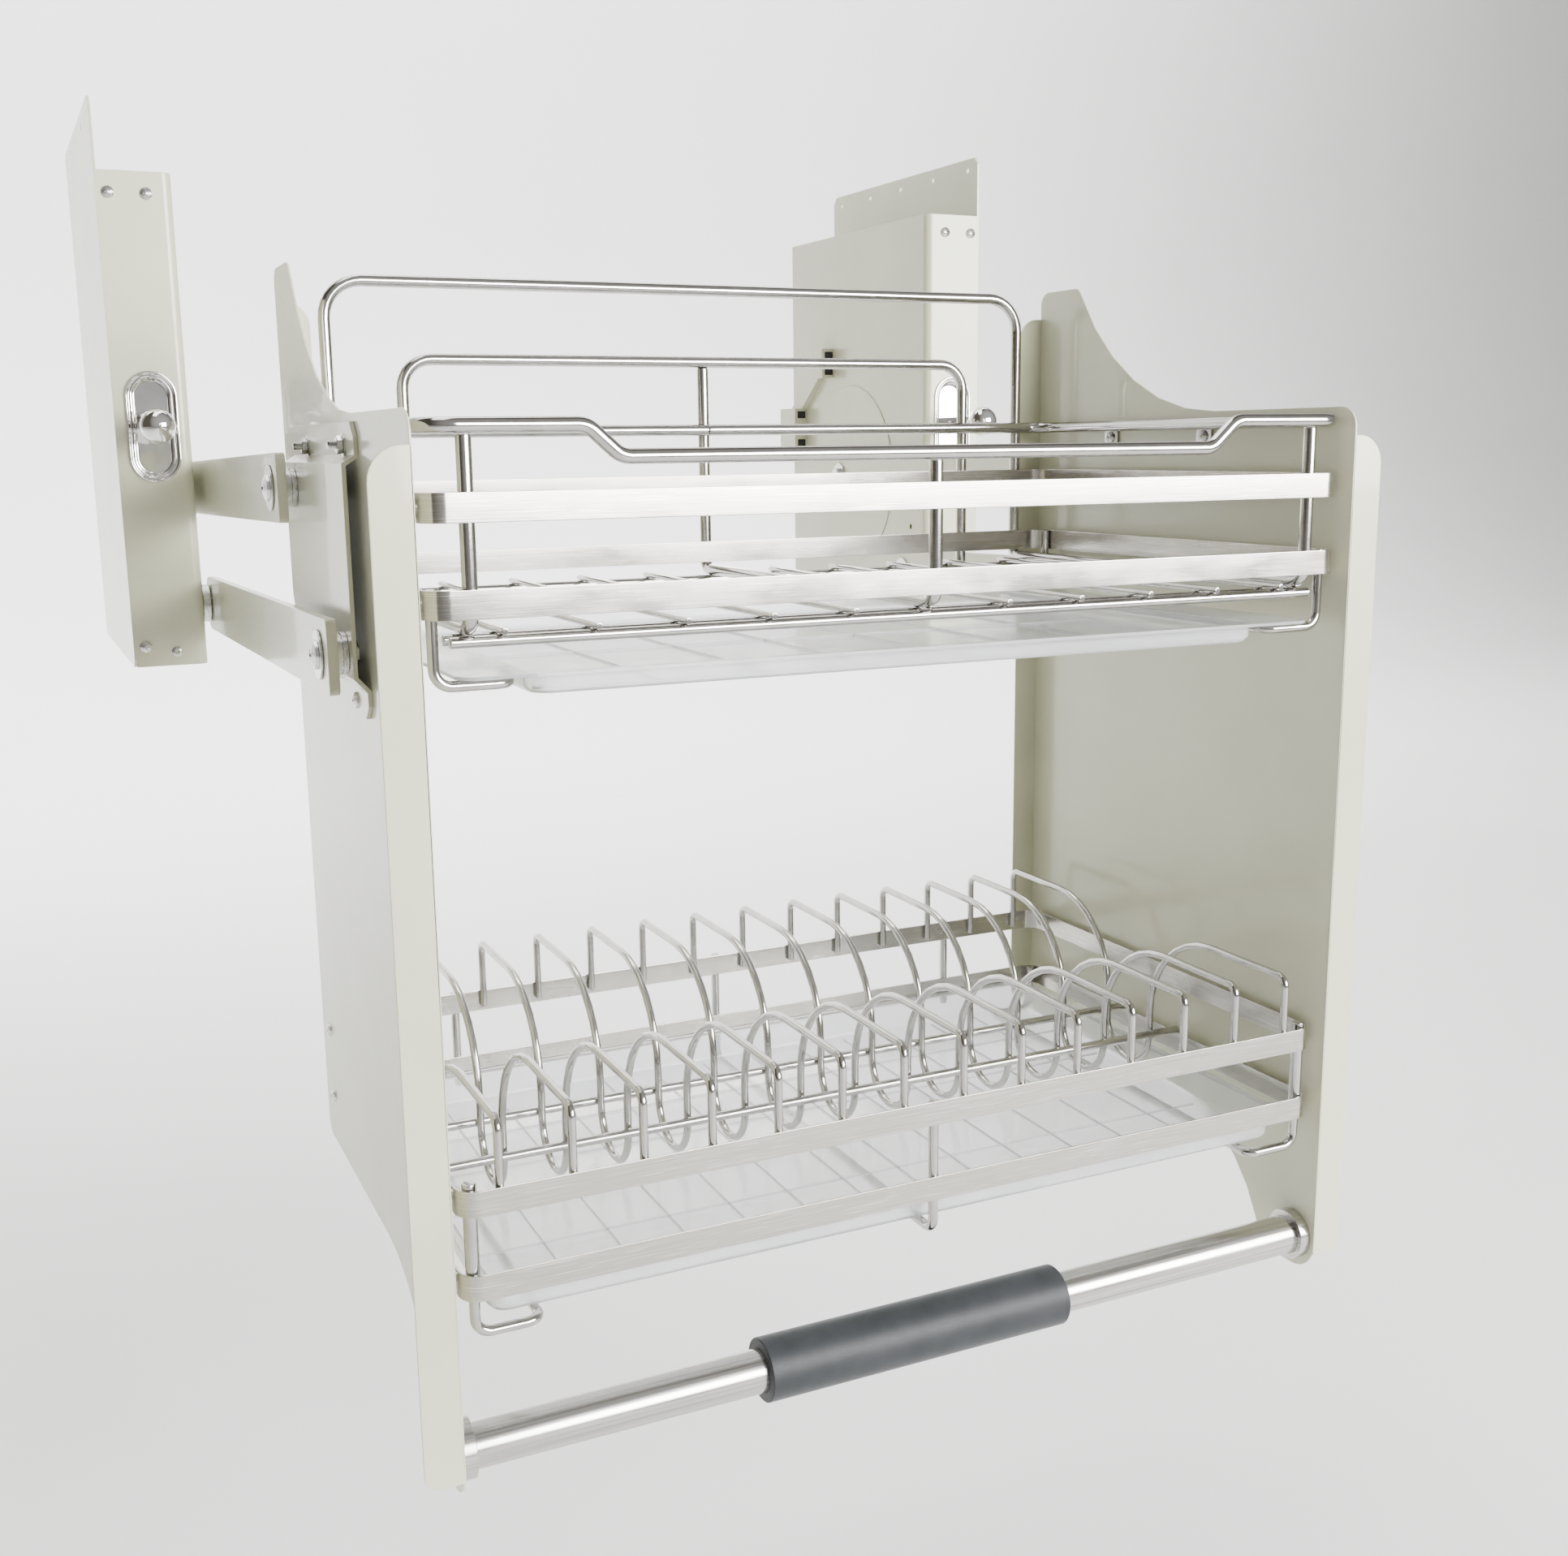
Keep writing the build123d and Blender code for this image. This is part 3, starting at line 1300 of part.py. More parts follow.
# Handle collars: a flange against each panel, with a sleeve over the tube and a plug inside it
with BuildPart() as handle_collars:
    with BuildSketch(basket_plane(tube_end_x)):
        facet_disc(handle_y, handle_z, collar_radius, oval_sides)
    extrude(amount=collar_thick)
    with BuildSketch(basket_plane(tube_end_x)):
        facet_disc(handle_y, handle_z, collar_radius, oval_sides)
        facet_bore(handle_y, handle_z, handle_radius + screw_gap, oval_sides)
    extrude(amount=-collar_sleeve)
    with BuildSketch(basket_plane(tube_end_x)):
        facet_disc(handle_y, handle_z, handle_radius - handle_wall - screw_gap)
    extrude(amount=-plug_length)
    with BuildSketch(basket_plane(panel_inner_x)):
        facet_bore(handle_y, handle_z, handle_screw_radius + screw_gap, screw_sides, mode=Mode.ADD)
    extrude(amount=-plug_length - collar_thick, mode=Mode.SUBTRACT)
    mirror(about=Plane.YZ)
save(handle_collars.part, "handle_collars")

# Handle screws: through each panel into the plug of the collar
with BuildPart() as handle_screws:
    with BuildSketch(basket_plane(panel_x)):
        facet_disc(handle_y, handle_z, handle_screw_head)
    extrude(amount=screw_head_height, taper=head_taper)
    with BuildSketch(basket_plane(panel_x)):
        facet_disc(handle_y, handle_z, handle_screw_radius, screw_sides)
    extrude(amount=-panel_thick - collar_thick - plug_length / 2)
    mirror(about=Plane.YZ)
save(handle_screws.part, "handle_screws")
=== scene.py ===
from math import ceil, cos, pi, radians, sin, tan

import bmesh
import bpy
from mathutils import Matrix, Vector


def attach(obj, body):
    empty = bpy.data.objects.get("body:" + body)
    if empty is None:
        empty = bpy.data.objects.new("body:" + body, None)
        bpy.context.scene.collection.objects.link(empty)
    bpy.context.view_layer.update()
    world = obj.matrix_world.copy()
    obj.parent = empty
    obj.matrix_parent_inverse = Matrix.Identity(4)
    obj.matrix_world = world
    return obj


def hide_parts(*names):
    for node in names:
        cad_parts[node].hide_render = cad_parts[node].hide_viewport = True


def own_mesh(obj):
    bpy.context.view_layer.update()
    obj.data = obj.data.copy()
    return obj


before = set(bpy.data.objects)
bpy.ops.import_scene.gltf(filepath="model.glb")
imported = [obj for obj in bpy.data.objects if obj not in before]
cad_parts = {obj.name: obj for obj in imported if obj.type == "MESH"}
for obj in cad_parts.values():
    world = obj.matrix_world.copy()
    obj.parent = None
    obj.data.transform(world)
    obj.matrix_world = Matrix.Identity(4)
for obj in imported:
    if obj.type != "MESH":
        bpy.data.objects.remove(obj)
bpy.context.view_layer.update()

# ---------------------------------------------------------------- mounting plates
# Folded 2 mm steel plates that screw to the cabinet's side panels, powder-coated cream.
# They keep their CAD form, holes included, and get the soft edges that the thick coat gives.
mm = 0.001
coat_edge = 0.35


def start_finish(name, **plain):
    """A material with one principled shader, and the values that are the same all over it."""
    finish = bpy.data.materials.new(name)
    finish.use_nodes = True
    shader = finish.node_tree.nodes["Principled BSDF"]
    for socket, value in plain.items():
        shader.inputs[socket.replace("_", " ")].default_value = value
    return finish, finish.node_tree, shader


def surface_noise(tree, scale, stretch=(1, 1, 1), detail=3.0):
    """Noise that stays on the piece, stretched along its axes."""
    where = tree.nodes.new("ShaderNodeTexCoord")
    lay = tree.nodes.new("ShaderNodeMapping")
    lay.inputs["Scale"].default_value = stretch
    noise = tree.nodes.new("ShaderNodeTexNoise")
    noise.inputs["Scale"].default_value = scale
    noise.inputs["Detail"].default_value = detail
    tree.links.new(where.outputs["Object"], lay.inputs["Vector"])
    tree.links.new(lay.outputs["Vector"], noise.inputs["Vector"])
    return noise.outputs["Fac"]


def blend_tones(tree, factor, *stops):
    """Colours along a ramp, each given as (place, colour)."""
    ramp = tree.nodes.new("ShaderNodeValToRGB")
    while len(ramp.color_ramp.elements) < len(stops):
        ramp.color_ramp.elements.new(0.5)
    for element, (place, colour) in zip(ramp.color_ramp.elements, stops):
        element.position = place
        element.color = (*colour, 1)
    tree.links.new(factor, ramp.inputs["Fac"])
    return ramp.outputs["Color"]


def grey(level):
    return (level, level, level)


def vary(tree, shader, socket, factor, *stops):
    """Lets a shader's colour or roughness follow a pattern along a ramp."""
    tree.links.new(blend_tones(tree, factor, *stops), shader.inputs[socket])


def raise_grain(tree, shader, height, strength, depth):
    """Relief that follows a pattern, its depth in millimetres."""
    bump = tree.nodes.new("ShaderNodeBump")
    bump.inputs["Strength"].default_value = strength
    bump.inputs["Distance"].default_value = depth * mm
    tree.links.new(height, bump.inputs["Height"])
    tree.links.new(bump.outputs["Normal"], shader.inputs["Normal"])


def make_cream_coat():
    finish, tree, shader = start_finish("cream_coat", Coat_Weight=0.3, Coat_Roughness=0.04,
                                        Specular_IOR_Level=0.4)
    cloud = surface_noise(tree, 9.0)
    vary(tree, shader, "Base Color", cloud, (0.3, (0.53, 0.53, 0.375)), (0.7, (0.59, 0.59, 0.435)))
    peel = surface_noise(tree, 420.0, detail=2.0)
    vary(tree, shader, "Roughness", peel, (0.3, grey(0.22)), (0.75, grey(0.27)))
    raise_grain(tree, shader, peel, 0.01, 0.3)
    return finish


def soften(node, edge, finish):
    """Keeps a CAD node, with a finish and soft edges, their width in millimetres."""
    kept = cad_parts[node]
    weld = kept.modifiers.new("weld", "WELD")
    weld.merge_threshold = 0.005 * mm
    flat = kept.modifiers.new("flat", "DECIMATE")
    flat.decimate_type = "DISSOLVE"
    flat.angle_limit = radians(1)
    soft = kept.modifiers.new("soft", "BEVEL")
    soft.width = edge * mm
    soft.segments = 2
    soft.limit_method = "ANGLE"
    soft.angle_limit = radians(25)
    for slot in kept.material_slots:
        slot.material = finish


cream_coat = make_cream_coat()
for side in ("left", "right"):
    soften(f"{side}_mounting_plate", coat_edge, cream_coat)

# ---------------------------------------------------------------- housing covers
# A deep steel cover folded round the springs, with 7 mm bends at its front and rear edges. Cut out
# for the switch in front and for a peep hole inside; the disc round the shaft is pressed out.
housing_inner, housing_back = 327, 380
housing_depth, housing_height = 291, 371
sheet_wall = 1.5
cover_bend, cover_edge = 7, 0.8
disc_radius, disc_rise, disc_edge = 88, 1.1, 0.9
peep_width = 5
cup_width, cup_height = 29.6, 75.6
curve_steps = 5


def at(x, y, z=0):
    """A point given in millimetres."""
    return Vector((x * mm, y * mm, z * mm))


shaft_at = at(0, 152, 135)
peep_at = at(housing_inner, 29, 87)
switch_at = at(354.5, 0, 184)
cover_middle = at(360, 145, 180)


def pick(geometry, kind=bmesh.types.BMVert):
    """The vertices, or another kind, among what an operator gives back."""
    return [item for item in geometry if isinstance(item, kind)]


def follow(mesh, drawn, corners, bends):
    """Draws edges or a point along corners, turning at each one on its bend; returns the line's end."""
    kind = type(drawn[0])
    along = (corners[1] - corners[0]).normalized()
    place = corners[0]
    for corner, after, bend in zip(corners[1:], corners[2:] + [None], [*bends, 0]):
        ahead = (after - corner).normalized() if after else along
        angle = along.angle(ahead)
        reach = bend * tan(angle / 2)
        step = corner - along * reach - place
        if step.length > 0.01 * mm:
            if kind is bmesh.types.BMEdge:
                pulled = bmesh.ops.extrude_edge_only(mesh, edges=drawn)["geom"]
            else:
                pulled = bmesh.ops.extrude_vert_indiv(mesh, verts=drawn)["verts"]
            bmesh.ops.translate(mesh, verts=pick(pulled), vec=step)
            drawn = pick(pulled, kind)
        if reach > 0:
            inward = (ahead - along * along.dot(ahead)).normalized()
            turned = bmesh.ops.spin(mesh, geom=drawn, cent=corner - along * reach + inward * bend,
                                    axis=along.cross(ahead).normalized(), angle=angle,
                                    steps=max(2, ceil(angle * curve_steps)))
            drawn = pick(turned["geom_last"], kind)
        place = corner + ahead * reach
        along = ahead
    return drawn


def draw_outline(mesh, corners, bends):
    """A closed line through corners in millimetres, each rounded to its bend; returns its edges."""
    before = set(mesh.edges)
    points = [at(across, up) for across, up in corners]
    start = (points[-1] + points[0]) / 2
    first = bmesh.ops.create_vert(mesh, co=start)["vert"][0]
    last = follow(mesh, [first], [start, *points, start], [bend * mm for bend in bends])[0]
    bmesh.ops.weld_verts(mesh, targetmap={last: first})
    return [edge for edge in mesh.edges if edge not in before]


def round_off(mesh, edges, width, segments=2, clamp=False):
    """Rounds edges off by a width in millimetres."""
    bmesh.ops.bevel(mesh, geom=edges, offset=width * mm, offset_type="OFFSET", affect="EDGES",
                    segments=segments, profile=0.5, material=-1, clamp_overlap=clamp)


def sharp_edges(mesh):
    return [e for e in mesh.edges if len(e.link_faces) == 2 and e.calc_face_angle() > radians(60)]


def rectangle(left, right, low, high):
    """Corners of a rectangle."""
    return [(left, high), (right, high), (right, low), (left, low)]


def oval(width, height):
    """Corners and bends of an upright oval round the middle."""
    return rectangle(-width / 2, width / 2, -height / 2, height / 2), [width / 2] * 4


def cut_sheet(corners, bends, thick, lay, edge=coat_edge):
    """A flat sheet cut to an outline, thickened, with soft edges, and laid in its place."""
    mesh = bmesh.new()
    outline = draw_outline(mesh, corners, bends)
    face = bmesh.ops.edgeloop_fill(mesh, edges=outline)["faces"][0]
    raised = bmesh.ops.extrude_face_region(mesh, geom=[face])["geom"]
    bmesh.ops.translate(mesh, verts=pick(raised), vec=at(0, 0, thick))
    bmesh.ops.recalc_face_normals(mesh, faces=mesh.faces)
    round_off(mesh, sharp_edges(mesh), edge, clamp=True)
    bmesh.ops.transform(mesh, matrix=lay, verts=mesh.verts)
    bmesh.ops.recalc_face_normals(mesh, faces=mesh.faces)
    return mesh


def lay_on(place, across, up):
    """The matrix that lays a drawing at a place, with its first two axes along across and up."""
    across, up = Vector(across).normalized(), Vector(up).normalized()
    turned = Matrix((across, up, across.cross(up))).transposed().to_4x4()
    return Matrix.Translation(place) @ turned


def face_user(place):
    return lay_on(place, (1, 0, 0), (0, 0, 1))


def face_out(place):
    return lay_on(place, (0, 1, 0), (0, 0, 1))


def face_in(place):
    return lay_on(place, (0, -1, 0), (0, 0, 1))


def gather(*parts):
    """One mesh from several."""
    whole = bmesh.new()
    for part in parts:
        step = bpy.data.meshes.new("step")
        part.to_mesh(step)
        part.free()
        whole.from_mesh(step)
        bpy.data.meshes.remove(step)
    return whole


def mirror_across(mesh):
    """The same piece for the other side."""
    bmesh.ops.scale(mesh, vec=(-1, 1, 1), verts=mesh.verts)
    bmesh.ops.reverse_faces(mesh, faces=mesh.faces)
    return mesh


def add_other_side(mesh):
    """Adds the mirrored twin of a mesh to it."""
    twin = mirror_across(mesh.copy())
    return gather(mesh, twin)


def hand_over(name, mesh, body, finish, node):
    """Makes a finished mesh a piece that rides on its body in place of its CAD node."""
    data = bpy.data.meshes.new(name)
    mesh.to_mesh(data)
    mesh.free()
    data.shade_smooth()
    data.set_sharp_from_angle(angle=radians(38))
    data.materials.append(finish)
    piece = bpy.data.objects.new(name, data)
    bpy.context.collection.objects.link(piece)
    shading = piece.modifiers.new("flat_faces", "WEIGHTED_NORMAL")
    shading.keep_sharp = True
    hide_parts(node)
    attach(piece, body)
    return piece


def hand_over_both(name, make, body, finish, node):
    """Hands over a piece made for the right side, and its mirrored twin; {side} is their side."""
    pieces = []
    for side in ("right", "left"):
        mesh = make() if side == "right" else mirror_across(make())
        pieces.append(hand_over(f"{side}_{name}", mesh, body.format(side=side), finish,
                                f"{side}_{node}"))
    return pieces


def open_wall(mesh, direction, hole, lay):
    """Replaces the flat wall that faces a direction by one with a hole in it."""
    wall = max((f for f in mesh.faces if f.normal.dot(direction) > 0.99), key=lambda f: f.calc_area())
    border = list(wall.edges)
    bmesh.ops.delete(mesh, geom=[wall], context="FACES_ONLY")
    before = set(mesh.verts)
    ring = draw_outline(mesh, *hole)
    bmesh.ops.transform(mesh, matrix=lay, verts=[v for v in mesh.verts if v not in before])
    bmesh.ops.triangle_fill(mesh, edges=border + ring, use_beauty=True, use_dissolve=False)


def fold_cover():
    mesh = bmesh.new()
    bmesh.ops.create_cube(mesh, size=1)
    size = at(housing_back - housing_inner, housing_depth, housing_height)
    bmesh.ops.scale(mesh, vec=size, verts=mesh.verts)
    bmesh.ops.translate(mesh, vec=at(housing_inner, 0) + size / 2, verts=mesh.verts)
    open_side = [f for f in mesh.faces if f.normal.x > 0.9]
    bmesh.ops.delete(mesh, geom=open_side, context="FACES_ONLY")
    folds = [e for e in mesh.edges if all(v.co.x < (housing_inner + 1) * mm for v in e.verts)
             and abs(e.verts[0].co.z - e.verts[1].co.z) > 10 * mm]
    round_off(mesh, folds, cover_bend, segments=6)
    ends = [e for e in mesh.edges if len(e.link_faces) == 2
            and {abs(f.normal.z) > 0.9 for f in e.link_faces} == {True, False}]
    round_off(mesh, ends, cover_edge)
    mesh.normal_update()
    open_wall(mesh, Vector((0, -1, 0)), oval(cup_width, cup_height), face_user(switch_at))
    open_wall(mesh, Vector((-1, 0, 0)), oval(peep_width, peep_width), face_out(peep_at))
    bmesh.ops.recalc_face_normals(mesh, faces=mesh.faces)
    outward = sum(f.normal.dot(f.calc_center_median() - cover_middle) for f in mesh.faces)
    if outward < 0:
        bmesh.ops.reverse_faces(mesh, faces=mesh.faces)
    bmesh.ops.solidify(mesh, geom=mesh.faces, thickness=sheet_wall * mm)
    bmesh.ops.recalc_face_normals(mesh, faces=mesh.faces)
    disc = cut_sheet(*oval(disc_radius * 2, disc_radius * 2), disc_rise,
                     face_in(shaft_at + at(housing_inner + 0.1, 0)), disc_edge)
    return gather(mesh, disc)


hand_over_both("cover_shell", fold_cover, "housings", cream_coat, "housing_cover")

# ---------------------------------------------------------------- cover screws, rivets
# Bright pan-head screws with a cross recess hold each cover to its plate, two above and one below.
# Beside the lower one sits a blind rivet whose open bore shows dark.
cover_screw_places = ((373, 355), (346, 355), (373, 16))
rivet_place = (350, 11)
rivet_profile = ((-3, 1.6), (1.0, 1.6), (1.25, 1.9), (1.1, 3.2), (0.5, 4.0), (0, 4.1))


def make_bright_zinc():
    finish, tree, shader = start_finish("bright_zinc", Metallic=1.0)
    cloud = surface_noise(tree, 160.0)
    vary(tree, shader, "Base Color", cloud, (0.25, (0.46, 0.46, 0.45)), (0.75, (0.74, 0.74, 0.72)))
    vary(tree, shader, "Roughness", cloud, (0.2, grey(0.16)), (0.8, grey(0.34)))
    return finish


def cross_head(radius, rise, lay, recess=0.55):
    """A pan head with a cross recess, from a small grid that is rounded to a dome."""
    radius, rise = radius * mm, rise * mm
    mesh = bmesh.new()
    bmesh.ops.create_grid(mesh, x_segments=5, y_segments=5, size=1)
    for vert in mesh.verts:
        x, y = (c * (0.6 + 0.4 * c * c) for c in vert.co.xy)
        vert.co = Vector((x * (1 - y * y / 2) ** 0.5, y * (1 - x * x / 2) ** 0.5, 0)) * radius
    cross = [f for f in mesh.faces
             if min(abs(c) for c in f.calc_center_median().xy) < 0.05 * radius
             and f.calc_center_median().length < 0.5 * radius]
    for vert in mesh.verts:
        vert.co.z = rise * (1 - 0.55 * (vert.co.xy.length / radius) ** 2.4)
    rim = [e for e in mesh.edges if e.is_boundary]
    for vert in pick(bmesh.ops.extrude_edge_only(mesh, edges=rim)["geom"]):
        vert.co.z = 0
        vert.co.xy *= 1.03
    sunk = bmesh.ops.extrude_face_region(mesh, geom=cross)["geom"]
    bmesh.ops.delete(mesh, geom=cross, context="FACES_ONLY")
    for vert in pick(sunk):
        vert.co.z -= rise * recess
        vert.co.xy *= 0.8
    bmesh.ops.edgeloop_fill(mesh, edges=[e for e in mesh.edges if e.is_boundary])
    bmesh.ops.transform(mesh, matrix=lay, verts=mesh.verts)
    bmesh.ops.recalc_face_normals(mesh, faces=mesh.faces)
    return mesh


def turn(profile, lay, sides=24):
    """A turned piece: its profile as (height, radius) in millimetres, spun about the third axis."""
    mesh = bmesh.new()
    height, radius = profile[0]
    last = bmesh.ops.create_vert(mesh, co=at(radius, 0, height))["vert"]
    for height, radius in profile[1:]:
        last = bmesh.ops.extrude_vert_indiv(mesh, verts=last)["verts"]
        last[0].co = at(radius, 0, height)
    bmesh.ops.spin(mesh, geom=mesh.verts[:] + mesh.edges[:], cent=(0, 0, 0), axis=(0, 0, 1),
                   angle=2 * pi, steps=sides, use_merge=True)
    bmesh.ops.remove_doubles(mesh, verts=mesh.verts, dist=0.002 * mm)
    bmesh.ops.transform(mesh, matrix=lay, verts=mesh.verts)
    bmesh.ops.recalc_face_normals(mesh, faces=mesh.faces)
    return mesh


bright_zinc = make_bright_zinc()


def hand_over_zinc(name, right_ones, body, node):
    """Zinc-plated pieces of both sides, from those of the right one."""
    hand_over(name, add_other_side(gather(*right_ones)), body, bright_zinc, node)


heads = [cross_head(4.4, 2.5, face_user(at(x, 0, z))) for x, z in cover_screw_places]
hand_over_zinc("cover_screw_heads", heads, "housings", "cover_screws")
rivet = turn(rivet_profile, face_user(at(rivet_place[0], 0, rivet_place[1])))
hand_over_zinc("cover_rivet_heads", [rivet], "housings", "cover_rivets")

# ---------------------------------------------------------------- switch plates
# Chromed oval pressings: a rounded outer rim, a flat shoulder and a cup that the knob moves in.
# Each is pressed over the hole in the front of its housing.
switch_steps = ((38, 84, 0), (38, 84, 1.2), (37.4, 83.4, 1.75), (36.2, 82.2, 2.0), (34.6, 80.6, 1.8),
                (33.4, 79.4, 1.2), (32.2, 78.2, 0.9), (30.8, 76.8, 0.9), (30.2, 76.2, 1.3),
                (29.4, 75.4, 1.6), (28.4, 74.4, 1.5), (27.7, 73.7, 0.9), (27.2, 73.2, 0),
                (26.4, 72.4, -4), (24.6, 70.6, -5.6), (21, 67, -6))


def make_chrome():
    finish, tree, shader = start_finish("chrome_plate", Metallic=1.0)
    cloud = surface_noise(tree, 45.0)
    vary(tree, shader, "Base Color", cloud, (0.3, (0.72, 0.715, 0.70)), (0.7, (0.84, 0.835, 0.82)))
    vary(tree, shader, "Roughness", cloud, (0.3, grey(0.05)), (0.8, grey(0.11)))
    return finish


def skin_outlines(outlines):
    """Skins closed lines, each given as (corners, bends, height), and fills the last one."""
    mesh = bmesh.new()
    before = None
    for corners, bends, height in outlines:
        outline = draw_outline(mesh, corners, bends)
        bmesh.ops.translate(mesh, verts=list({v for e in outline for v in e.verts}),
                            vec=at(0, 0, height))
        if before:
            bmesh.ops.bridge_loops(mesh, edges=before + outline)
        before = outline
    bmesh.ops.edgeloop_fill(mesh, edges=before)
    bmesh.ops.recalc_face_normals(mesh, faces=mesh.faces)
    return mesh


def press_switch_plate():
    mesh = skin_outlines([(*oval(width, height), rise) for width, height, rise in switch_steps])
    bmesh.ops.transform(mesh, matrix=face_user(switch_at), verts=mesh.verts)
    return mesh


chrome_plate = make_chrome()
hand_over_both("switch_rim", press_switch_plate, "housings", chrome_plate, "switch_plate")

# ---------------------------------------------------------------- knobs
# Turned ball knobs with a slightly flattened face, chromed, each on a thin stem.
# The right one is drawn out by 20 mm and the left one is pushed in.
ball_radius = 13
ball_flat = 0.93
stem_radius, stem_length = 5, 75
knob_near, knob_travel = 35, 20


def turn_knob(ball_out):
    """The ball's profile runs from its face back to the stem, in steps of nine degrees."""
    ball = [(ball_radius * sin(angle) * (ball_flat if angle > 0 else 1), ball_radius * cos(angle))
            for angle in (radians(90 - 9 * step) for step in range(18))]
    ball += [(-ball_radius * 0.94, stem_radius), (-stem_length, stem_radius), (-stem_length, 0)]
    return turn(ball, face_user(switch_at - at(0, ball_out)), sides=32)


hand_over("right_ball", turn_knob(knob_near + knob_travel), "right_knob_body",
          chrome_plate, "right_knob")
hand_over("left_ball", mirror_across(turn_knob(knob_near)), "left_knob_body",
          chrome_plate, "left_knob")

# ---------------------------------------------------------------- stop brackets and their bumpers
# Folded cream boxes on the inner side of each housing; black rubber pads in their fronts catch the
# arm. Both keep their CAD form with softened edges, and so do the rubbered stops of the cranks.


def make_black_rubber():
    finish, tree, shader = start_finish("black_rubber", Specular_IOR_Level=0.35)
    dust = surface_noise(tree, 260.0)
    vary(tree, shader, "Base Color", dust, (0.35, grey(0.008)), (0.8, grey(0.028)))
    vary(tree, shader, "Roughness", dust, (0.2, grey(0.55)), (0.8, grey(0.75)))
    raise_grain(tree, shader, dust, 0.2, 0.2)
    return finish


black_rubber = make_black_rubber()
for side in ("left", "right"):
    soften(f"{side}_stop_bracket", 0.3, cream_coat)
for node in ("stop_bumpers", "crank_stops"):
    soften(node, 0.4, black_rubber)

# ---------------------------------------------------------------- lift works
# The crank, its shaft and pins, the bearings and the arm's bolt are turned and milled steel, zinc
# plated. They sit behind the arms and inside the housings, in their CAD form.
for node in ("left_lift_crank", "right_lift_crank", "left_shaft_bolt", "right_shaft_bolt",
             "shaft_bearings", "spring_anchor_pins"):
    soften(node, 0.3, bright_zinc)

# ---------------------------------------------------------------- lift springs
# Tension springs of dark oiled wire, two in each housing, hooked on crank pin and anchor.
# They shorten as the basket goes up, because the crank pin rises towards the anchor; here they are
# wound at one length.
spring_wire, wire_sides = 2.2, 6
spring_radius, eye_radius = 7.8, 6.8
spring_foot, spring_top = 109.5, 337
crank_pin_z, anchor_z = 101.6, 345
spring_y = 121.9
spring_places = (342.5, 363.5)
spring_turns, turn_steps = 62, 14


def make_spring_steel():
    finish, tree, shader = start_finish("spring_steel", Metallic=1.0)
    oil = surface_noise(tree, 120.0)
    vary(tree, shader, "Base Color", oil, (0.3, grey(0.10)), (0.75, grey(0.26)))
    vary(tree, shader, "Roughness", oil, (0.3, grey(0.25)), (0.8, grey(0.45)))
    return finish


def draw_wire(mesh, lay):
    """The wire's round section, where the matrix lays it."""
    bmesh.ops.create_circle(mesh, segments=wire_sides, radius=spring_wire / 2 * mm, matrix=lay)
    return mesh.verts[:] + mesh.edges[:]


def wind_spring(x):
    """The coil, spun up from a small wire section, with a round eye at each end."""
    coil = bmesh.new()
    lay = Matrix.Translation(at(spring_radius - spring_wire / 2, 0)) @ Matrix.Rotation(pi / 2, 4, "X")
    steps = spring_turns * turn_steps
    bmesh.ops.spin(coil, geom=draw_wire(coil, lay), cent=(0, 0, 0), axis=(0, 0, 1),
                   dvec=at(0, 0, (spring_top - spring_foot) / steps), angle=2 * pi * spring_turns,
                   steps=steps)
    bmesh.ops.edgeloop_fill(coil, edges=[e for e in coil.edges if e.is_boundary])
    bmesh.ops.translate(coil, vec=at(x, spring_y, spring_foot), verts=coil.verts)
    bmesh.ops.recalc_face_normals(coil, faces=coil.faces)
    parts = [coil]
    for height in (crank_pin_z, anchor_z):
        eye = bmesh.new()
        bmesh.ops.spin(eye, geom=draw_wire(eye, Matrix.Translation(at(0, eye_radius))), cent=(0, 0, 0),
                       axis=(1, 0, 0), angle=2 * pi, steps=16, use_merge=True)
        bmesh.ops.remove_doubles(eye, verts=eye.verts, dist=0.01 * mm)
        bmesh.ops.translate(eye, vec=at(x, spring_y, height), verts=eye.verts)
        bmesh.ops.recalc_face_normals(eye, faces=eye.faces)
        parts.append(eye)
    return gather(*parts)


def wind_springs():
    return gather(*[wind_spring(x) for x in spring_places])


springs = hand_over_both("spring_coils", wind_springs, "housings",
                         make_spring_steel(), "lift_springs")
for coils, joint in zip(springs, ("lift", "left_upper_swing")):
    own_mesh(coils)

# ---------------------------------------------------------------- arms
# Flat 6 mm steel bars in the same cream coat. The upper one is fixed on the square of the shaft,
# the lower one turns on its stud; both have a round tail and a nose with small corners.
arm_outer = 320
arm_thick, arm_half, arm_edge = 6, 21, 0.7
arm_span = at(0, -473, 7.5)
arm_nose, nose_corner = 25, 4
stud_at = at(0, 22, 46)
arm_pivots = (("upper", shaft_at, 75), ("lower", stud_at, 21))


def cut_arm(pivot, tail):
    reach = arm_span.length / mm + arm_nose
    lay = lay_on(pivot + at(arm_outer, 0), arm_span, arm_span.cross(Vector((1, 0, 0))))
    return cut_sheet(rectangle(-tail, reach, -arm_half, arm_half),
                     [arm_half, nose_corner, nose_corner, arm_half], arm_thick, lay, arm_edge)


for arm, pivot, tail in arm_pivots:
    hand_over_both(f"{arm}_bar", lambda: cut_arm(pivot, tail), f"{{side}}_{arm}_arm_body",
                   cream_coat, f"{arm}_arm")

